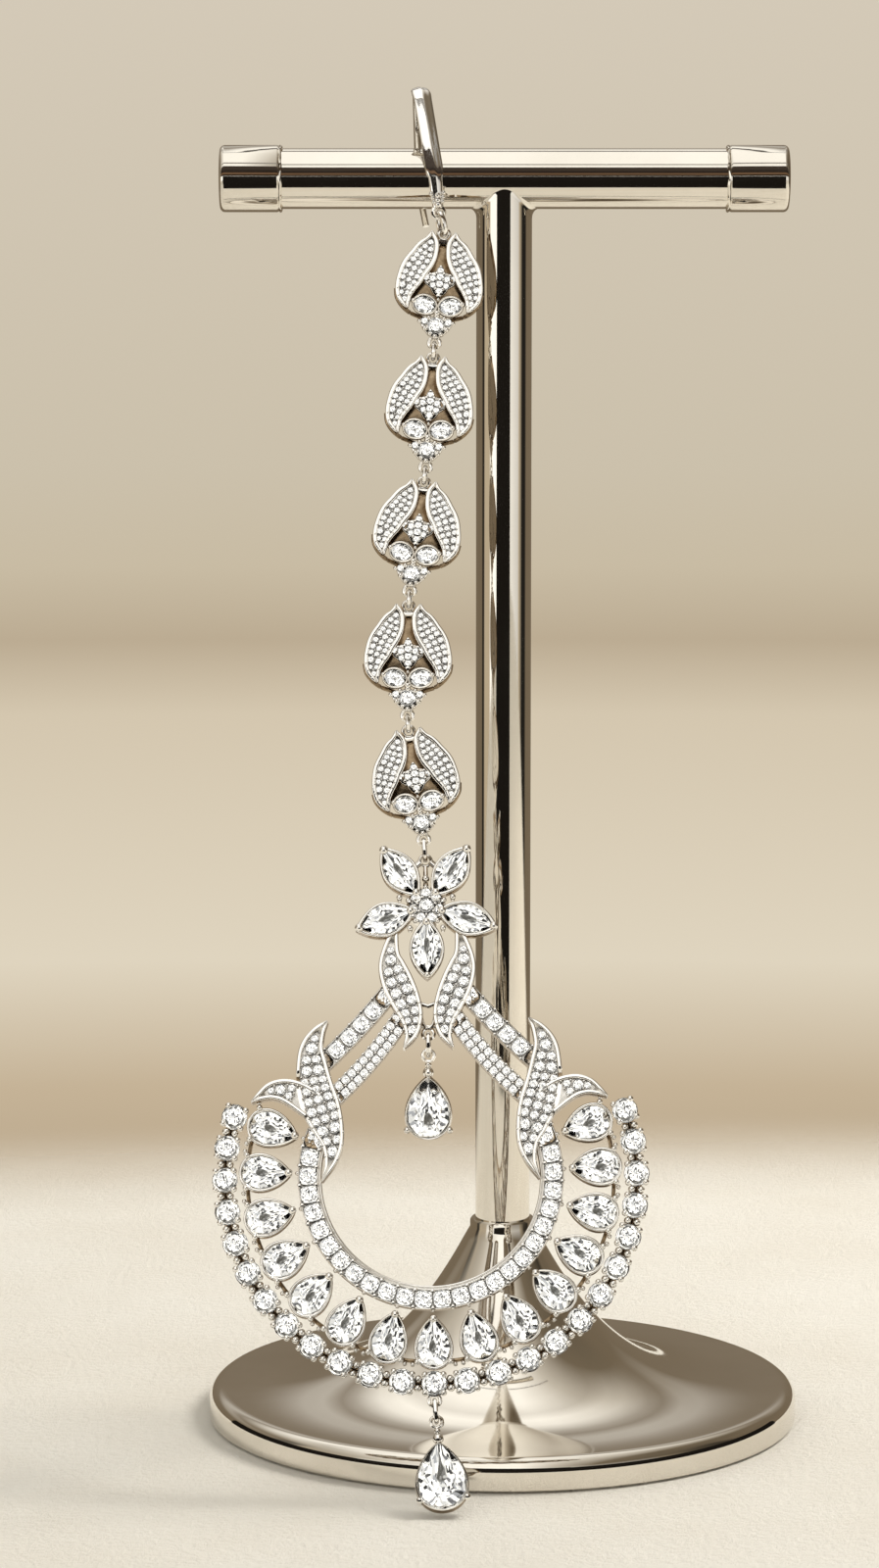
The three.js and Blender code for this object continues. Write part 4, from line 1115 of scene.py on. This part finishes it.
def fittings(metal):
    """The bail behind the flower, the bar between the leaves and the eyes that the drops hang from."""
    top = TOP_EYE_HEIGHT
    metal.eye(top)
    for side in (-1, 1):
        bail = [(side * 0.55, 0, top - 0.2), (side * 1.2, 0.05, top - 0.9), (side * 1.15, 0.2, top - 2.2),
                (side * 0.6, 0.3, FLOWER_HEIGHT + 1.5)]
        metal.wire(catmull(bail, 6), 0.4, 10)
    metal.wire([(0, 0, top - 0.6), (0, 0.1, FLOWER_HEIGHT + 2)], 0.26, 10)
    metal.bead(0, FLOWER_HEIGHT + 3.2, -0.35, 0.42, 12, 7)
    metal.bead(0, FLOWER_HEIGHT + 2.5, -0.5, 0.3, 12, 7)
    tie = FLOWER_HEIGHT * 0.645
    metal.wire([(-0.95, 0.1, tie), (0, 0.1, tie - 0.35), (0.95, 0.1, tie)], 0.24)
    metal.wire([(-0.95, 0.1, tie - 2.6), (0.95, 0.1, tie - 2.6)], 0.2)
    for side in (-1, 1):
        wire = [(side * 0.85, 0.1, tie - 1.2), (side * 0.5, 0, tie - 2.4), (0, 0, CENTRE_EYE_HEIGHT + 0.6)]
        metal.wire(catmull(wire, 6), 0.2)
    metal.eye(CENTRE_EYE_HEIGHT)


def pendant():
    metal, stones = Mould(), Mould()
    inner_band(metal, stones)
    pear_ring(metal, stones)
    for part in (arms(), scrolls(), flower_leaves()):
        metal.pair(part[0])
        stones.pair(part[1])
    flower(metal, stones)
    fittings(metal)
    nodes = [f"pear_stone_{i + 1}" for i in range(PEAR_COUNT)]
    nodes += [f"petal_stone_{i + 1}" for i in range(PETAL_COUNT)] + ["flower_centre_stone"]
    make_set("pendant", metal, stones, "crescent", ["pendant_frame"], nodes)


def outer_row():
    metal, stones = Mould(), Mould()
    radius = ROW_CUP_RADIUS
    # The cup's back walls take WALL: painted shade.
    cup = lathe([(0, FRAME_BACK), (radius * 0.62, FRAME_BACK), (radius * 0.8, 0.35), (radius * 1.02, -0.25),
                 (radius * 1.0, -0.38), (radius * 0.92, -0.38), (radius * 0.88, -0.2), (0, 0.1)], 24,
                [WALL, WALL, WALL, METAL, METAL, METAL, TRAY])
    post = claw(0.36, 0.5, 0.4)
    for i in range(ROW_COUNT):
        degrees = (i - (ROW_COUNT - 1) / 2) * ROW_PITCH
        x, z = on_circle(ROW_RADIUS, degrees)
        metal.stamp(cup, at(x, z))
        set_stone(stones, ROUND_GEM, x, z, -0.52, radius * 1.12, 5)
        for px, pz in ((-1, -1), (1, -1), (-1, 1), (1, 1)):
            spot = at(x, z, 0, 1, degrees) @ at(px * radius * 0.79, pz * radius * 0.77)
            metal.stamp(post, spot)
        if i + 1 < ROW_COUNT:
            for reach in (-0.5, 0.5):
                x, z = on_circle(ROW_RADIUS + reach, degrees + ROW_PITCH / 2)
                metal.bead(x, z, -0.15, 0.42, 10, 6)
                ends = [on_circle(ROW_RADIUS + reach * 0.6, degrees + ROW_PITCH * share)
                        for share in (0.3, 0.7)]
                # The wires take WALL: painted shade.
                metal.wire([(a, 0.25, b) for a, b in ends], 0.3, finish=WALL)
    metal.eye(-LOWER_EYE_DEPTH)
    make_set("outer_row", metal, stones, "crescent", ["outer_stone_row"])


def drop(name, size):
    length, width = size["length"], size["width"]
    metal, stones = Mould(), Mould()
    foot = -EYE_RADIUS - DROP_NECK - length

    def wall(inset):
        return pear_outline(length, width, inset)
    metal.stamp(bezel(wall, STONE_WALL * 0.9, 0.5, DROP_BACK, 56), Matrix.Translation((0, 0, foot)))
    stone = gem_template(wall(STONE_WALL * 0.9), 9, 0.55, 0.45, 0.7, (0, length * 0.4), (0.6, 0.66), 0.36,
                         LARGE_CROWN)
    stones.stamp(stone, at(0, foot, -0.32))
    for side in (-1, 1):
        metal.stamp(claw(0.38, 0.75, DROP_BACK * 0.9), at(side * width * 0.45, foot + length * 0.16))
    metal.bead(0, -EYE_RADIUS - DROP_NECK * 0.72, -0.1, 0.6, 14, 8)
    metal.bead(0, -EYE_RADIUS - DROP_NECK * 0.16, 0, 0.36, 12, 7)
    metal.wire([(0, 0, -EYE_RADIUS + 0.1), (0, 0, foot + length - 0.1)], 0.26, 10)
    metal.eye()
    make_set(f"{name}_drop", metal, stones, f"{name}_drop", [f"{name}_drop_setting"],
             [f"{name}_drop_stone"], "gem")
    jump_ring(f"{name}_drop_loop", f"{name}_drop_ring", DROP_LINK_DROP, f"{name}_drop_ring")


# Studio

def camera():
    data = bpy.data.cameras.new("camera")
    data.sensor_fit = "VERTICAL"
    data.angle_y = math.radians(CAMERA_FOV)
    data.clip_start, data.clip_end = CLIP
    obj = added("camera", data)
    obj.location = [v * MM for v in CAMERA_PLACE]
    obj.rotation_euler = (math.radians(90 - CAMERA_PITCH), 0, 0)
    bpy.context.scene.camera = obj


def floor():
    """A round table top in pale cloth that ends a little behind the stand."""
    turns = [2 * math.pi * k / TABLE_SIDES for k in range(TABLE_SIDES)]
    ring = [(TABLE_PLACE[0] + TABLE_RADIUS * math.cos(a), TABLE_PLACE[1] + TABLE_RADIUS * math.sin(a), 0)
            for a in turns]
    mesh = bpy.data.meshes.new("table")
    mesh.from_pydata([[v * MM for v in point] for point in ring], [], [tuple(range(TABLE_SIDES))])
    mesh.materials.append(pale_cloth())
    obj = added("table", mesh)
    obj.visible_transmission = False


def card(name, width, height, place, low, high, streaks=0.0, bend=0.0):
    """A studio card, in metres, that only shows in reflections: its light runs from low up to high.
    bend is the radius of a card that curves round the stand."""
    mesh = bpy.data.meshes.new(name)
    w, h = width / 2, height / 2
    steps = 24 if bend else 1
    line = [(-w + 2 * w * i / steps, 0) for i in range(steps + 1)]
    if bend:
        line = [(bend * math.sin(x / bend), bend - bend * math.cos(x / bend)) for x, _ in line]
    points = [(x, y, z) for z in (-h, h) for x, y in line]
    mesh.from_pydata(points, [], [(i, i + 1, i + steps + 2, i + steps + 1) for i in range(steps)])
    material, tree, _ = shader(name, {})
    where = tree.nodes.new("ShaderNodeTexCoord")
    split = tree.nodes.new("ShaderNodeSeparateXYZ")
    link(tree, where.outputs["Object"], split.inputs[0])
    colour = mixed(tree, ranged(tree, split.outputs["Z"], 0, 1, -h, h), low, high)
    band = tree.nodes.new("ShaderNodeTexNoise")
    band.noise_dimensions = "1D"
    band.inputs["Scale"].default_value = 260
    link(tree, split.outputs["Z"], band.inputs["W"])
    light = tree.nodes.new("ShaderNodeEmission")
    link(tree, colour, light.inputs["Color"])
    link(tree, ranged(tree, band.outputs["Fac"], 1 - streaks, 1 + streaks), light.inputs["Strength"])
    link(tree, light.outputs["Emission"], tree.nodes["Material Output"].inputs["Surface"])
    mesh.materials.append(material)
    obj = added(name, mesh)
    obj.location = place
    for kind in ("camera", "diffuse", "transmission", "shadow", "volume_scatter"):
        setattr(obj, f"visible_{kind}", False)


def world():
    """Soft studio: bright overhead, beige behind, bright ahead and dark at the two sides."""
    w = bpy.data.worlds.new("studio")
    bpy.context.scene.world = w
    w.use_nodes = True
    tree = w.node_tree
    background = tree.nodes["Background"]
    where = tree.nodes.new("ShaderNodeTexCoord")
    split = tree.nodes.new("ShaderNodeSeparateXYZ")
    link(tree, where.outputs["Generated"], split.inputs[0])

    def maths(kind, a, b=None):
        node = tree.nodes.new("ShaderNodeMath")
        node.operation = kind
        for socket, value in zip(node.inputs, (a, b)):
            if value is None:
                continue
            if isinstance(value, (int, float)):
                socket.default_value = value
            else:
                link(tree, value, socket)
        return node.outputs[0]

    def ramp(value, stops, ease="LINEAR"):
        node = tree.nodes.new("ShaderNodeValToRGB")
        node.color_ramp.interpolation = ease
        ramp_stops = node.color_ramp.elements
        while len(ramp_stops) < len(stops):
            ramp_stops.new(0.5)
        for stop, (position, colour) in zip(ramp_stops, stops):
            stop.position = position
            stop.color = (*(colour if isinstance(colour, tuple) else (colour,) * 3), 1)
        link(tree, value, node.inputs[0])
        return node.outputs["Color"]

    azimuth = maths("ARCTAN2", split.outputs["X"], maths("MULTIPLY", split.outputs["Y"], -1))
    turn = maths("ADD", maths("DIVIDE", azimuth, 2 * math.pi), 0.5)
    white, pale, warm = (1.45, 1.42, 1.35), (1.12, 1.09, 1.02), (0.6, 0.5, 0.36)
    beige, dark = (0.205, 0.16, 0.108), (0.02, 0.018, 0.015)

    def at_degrees(d):
        return 0.5 + d / 360

    def spread(value, low, high):
        shifted = maths("DIVIDE", maths("SUBTRACT", value, low), high - low)
        return maths("MINIMUM", maths("MAXIMUM", shifted, 0.0), 1.0)

    sides = ramp(turn, [
        (0.0, beige), (at_degrees(-104), beige), (at_degrees(-99), dark), (at_degrees(-92), dark),
        (at_degrees(-86), warm), (at_degrees(-62), warm), (at_degrees(-58), white), (at_degrees(-30), white),
        (at_degrees(-20), pale), (at_degrees(20), pale), (at_degrees(60), (0.8, 0.78, 0.74)),
        (at_degrees(66), warm), (at_degrees(80), dark), (at_degrees(98), dark), (at_degrees(106), beige),
        (1.0, beige)])
    overhead = ramp(spread(split.outputs["X"], -1, 1), [
        (0.0, (0.3, 0.26, 0.2)), (0.15, (0.6, 0.55, 0.47)), (0.38, (1.25, 1.22, 1.15)),
        (0.54, (1.3, 1.27, 1.2)), (0.64, (0.7, 0.65, 0.57)), (0.76, (0.2, 0.16, 0.11)),
        (1.0, (0.1, 0.08, 0.055))])
    lift_ahead = ramp(split.outputs["Z"], [(0.0, 0), (0.25, 0.5), (0.55, 1)])
    lift_behind = ramp(split.outputs["Z"], [
        (0.0, 0), (0.26, 0.03), (0.34, 0.3), (0.4, 0.34), (0.47, 0.14), (0.53, 0.3), (0.64, 0.85),
        (0.72, 1), (0.8, 0.75), (0.9, 1)])

    def blend(factor, a, b):
        node = tree.nodes.new("ShaderNodeMix")
        node.data_type = "RGBA"
        for key, value in (("Factor", factor), ("A", a), ("B", b)):
            if isinstance(value, tuple):
                node.inputs[key].default_value = value
            else:
                link(tree, value, node.inputs[key])
        return node.outputs["Result"]

    lift = blend(spread(split.outputs["Y"], -0.2, 0.2), lift_ahead, lift_behind)
    studio_light = blend(lift, sides, overhead)

    # Many small bright and dim patches, seen only through the stones
    cells = tree.nodes.new("ShaderNodeTexVoronoi")
    cells.inputs["Scale"].default_value = GLINT_SCALE
    link(tree, where.outputs["Generated"], cells.inputs["Vector"])
    pick = tree.nodes.new("ShaderNodeSeparateColor")
    link(tree, cells.outputs["Color"], pick.inputs[0])
    glints = ramp(pick.outputs[0], [
        (0.0, 0.05), (0.1, (0.25, 0.25, 0.26)), (0.2, (0.55, 0.56, 0.58)), (0.34, (1.05, 1.04, 1.01)),
        (0.58, (1.6, 1.57, 1.49)), (0.84, (2.5, 2.45, 2.3))], "CONSTANT")
    grey = ramp(pick.outputs[1], [
        (0.0, (0.12, 0.115, 0.1)), (0.3, (0.24, 0.235, 0.22)), (0.6, (0.42, 0.41, 0.39)),
        (0.85, (0.75, 0.74, 0.7))], "CONSTANT")
    ahead, up = (maths("MULTIPLY", split.outputs[axis], share) for axis, share in zip("YZ", GREY_FACING))
    facing = maths("ADD", ahead, up)
    glints = blend(ramp(facing, [(0.0, 0), (0.9, 0), (0.94, 1)]), glints, grey)

    backdrop = ramp(spread(split.outputs["Z"], -0.215, 0.07), [
        (0.0, (0.47, 0.37, 0.25)), (0.1, (0.56, 0.45, 0.31)), (0.2, (0.74, 0.66, 0.52)),
        (0.4, (0.66, 0.57, 0.43)), (0.46, (0.5, 0.41, 0.29)), (0.52, (0.58, 0.5, 0.37)),
        (0.6, (0.6, 0.53, 0.41)), (1.0, (0.66, 0.59, 0.48))])
    rays = tree.nodes.new("ShaderNodeLightPath")
    seen = blend(rays.outputs["Is Transmission Ray"], studio_light, glints)
    seen = blend(rays.outputs["Is Diffuse Ray"], seen, (0.9, 0.87, 0.8, 1))
    seen = blend(rays.outputs["Is Camera Ray"], seen, backdrop)
    link(tree, seen, background.inputs["Color"])
    background.inputs["Strength"].default_value = 1.0


def area(name, place, target, size, power, colour):
    data = bpy.data.lights.new(name, "AREA")
    data.shape = "RECTANGLE"
    data.size, data.size_y = size
    data.energy = power
    data.color = colour
    obj = added(name, data)
    obj.location = place
    obj.visible_glossy = False
    obj.rotation_euler = (Vector(target) - Vector(place)).to_track_quat("-Z", "Y").to_euler()


def studio():
    camera()
    floor()
    world()
    black = (0.012, 0.01, 0.008)
    # The flags and bar cards below are seen only in reflections: they paint the dark and light reflection
    # bands on the stand and the jewellery.
    # Name, width, height, place, light at its foot and at its top, streaks, bend
    card("near_flag", 0.214, 0.078, (-0.0115, -0.2, 0.037), black, black)
    card("low_flag", 0.16, 0.0085, (0, -0.05, 0.00525), black, black, bend=0.05)
    card("far_flag", 0.43, 0.188, (-0.027, -0.4, 0.094), black, black)
    bar = BAR_HEIGHT * MM
    card("bar_flag", 0.11, 0.0078, (0, -0.012, bar + 0.0052), (0.02, 0.014, 0.01), (0.06, 0.045, 0.035), 0.3)
    card("bar_glow", 0.11, 0.0014, (0, -0.0117, bar + 0.0029), (0.22, 0.13, 0.07), (0.12, 0.07, 0.04), 0.2)
    card("bar_line", 0.11, 0.004, (0, -0.02, bar + 0.0245), (0.35, 0.33, 0.3), (0.35, 0.33, 0.3), 0.2)
    card("bar_edge", 0.11, 0.008, (0, 0.02, bar + 0.032), (0.12, 0.11, 0.1), (0.2, 0.18, 0.16), 0.4)
    area("key", (0.4, 0.1, 0.55), (0, -0.02, 0.03), (0.25, 0.25), 4.0, (1, 0.97, 0.92))
    bpy.context.scene.view_settings.view_transform = "Standard"


stand_base()
stand_tee()
bar_cap(-1, "cap_left", "bar_cap_left")
bar_cap(1, "cap_right", "bar_cap_right")
hook()
jump_ring("hook_loop", "hook_ring", HOOK_RING_DROP, "hook_ring", WIRE_RADIUS * 1.4)
for number in range(1, len(LINK_HANGS) + 1):
    chain_link(number)
    final = number == len(LINK_HANGS)
    jump_ring(f"loop_{number}", f"ring_{number}", PENDANT_RING_DROP if final else RING_DROP,
              "pendant_ring" if final else f"chain_ring_{number}")
pendant()
outer_row()
drop("centre", CENTRE_DROP)
drop("lower", LOWER_DROP)
studio()
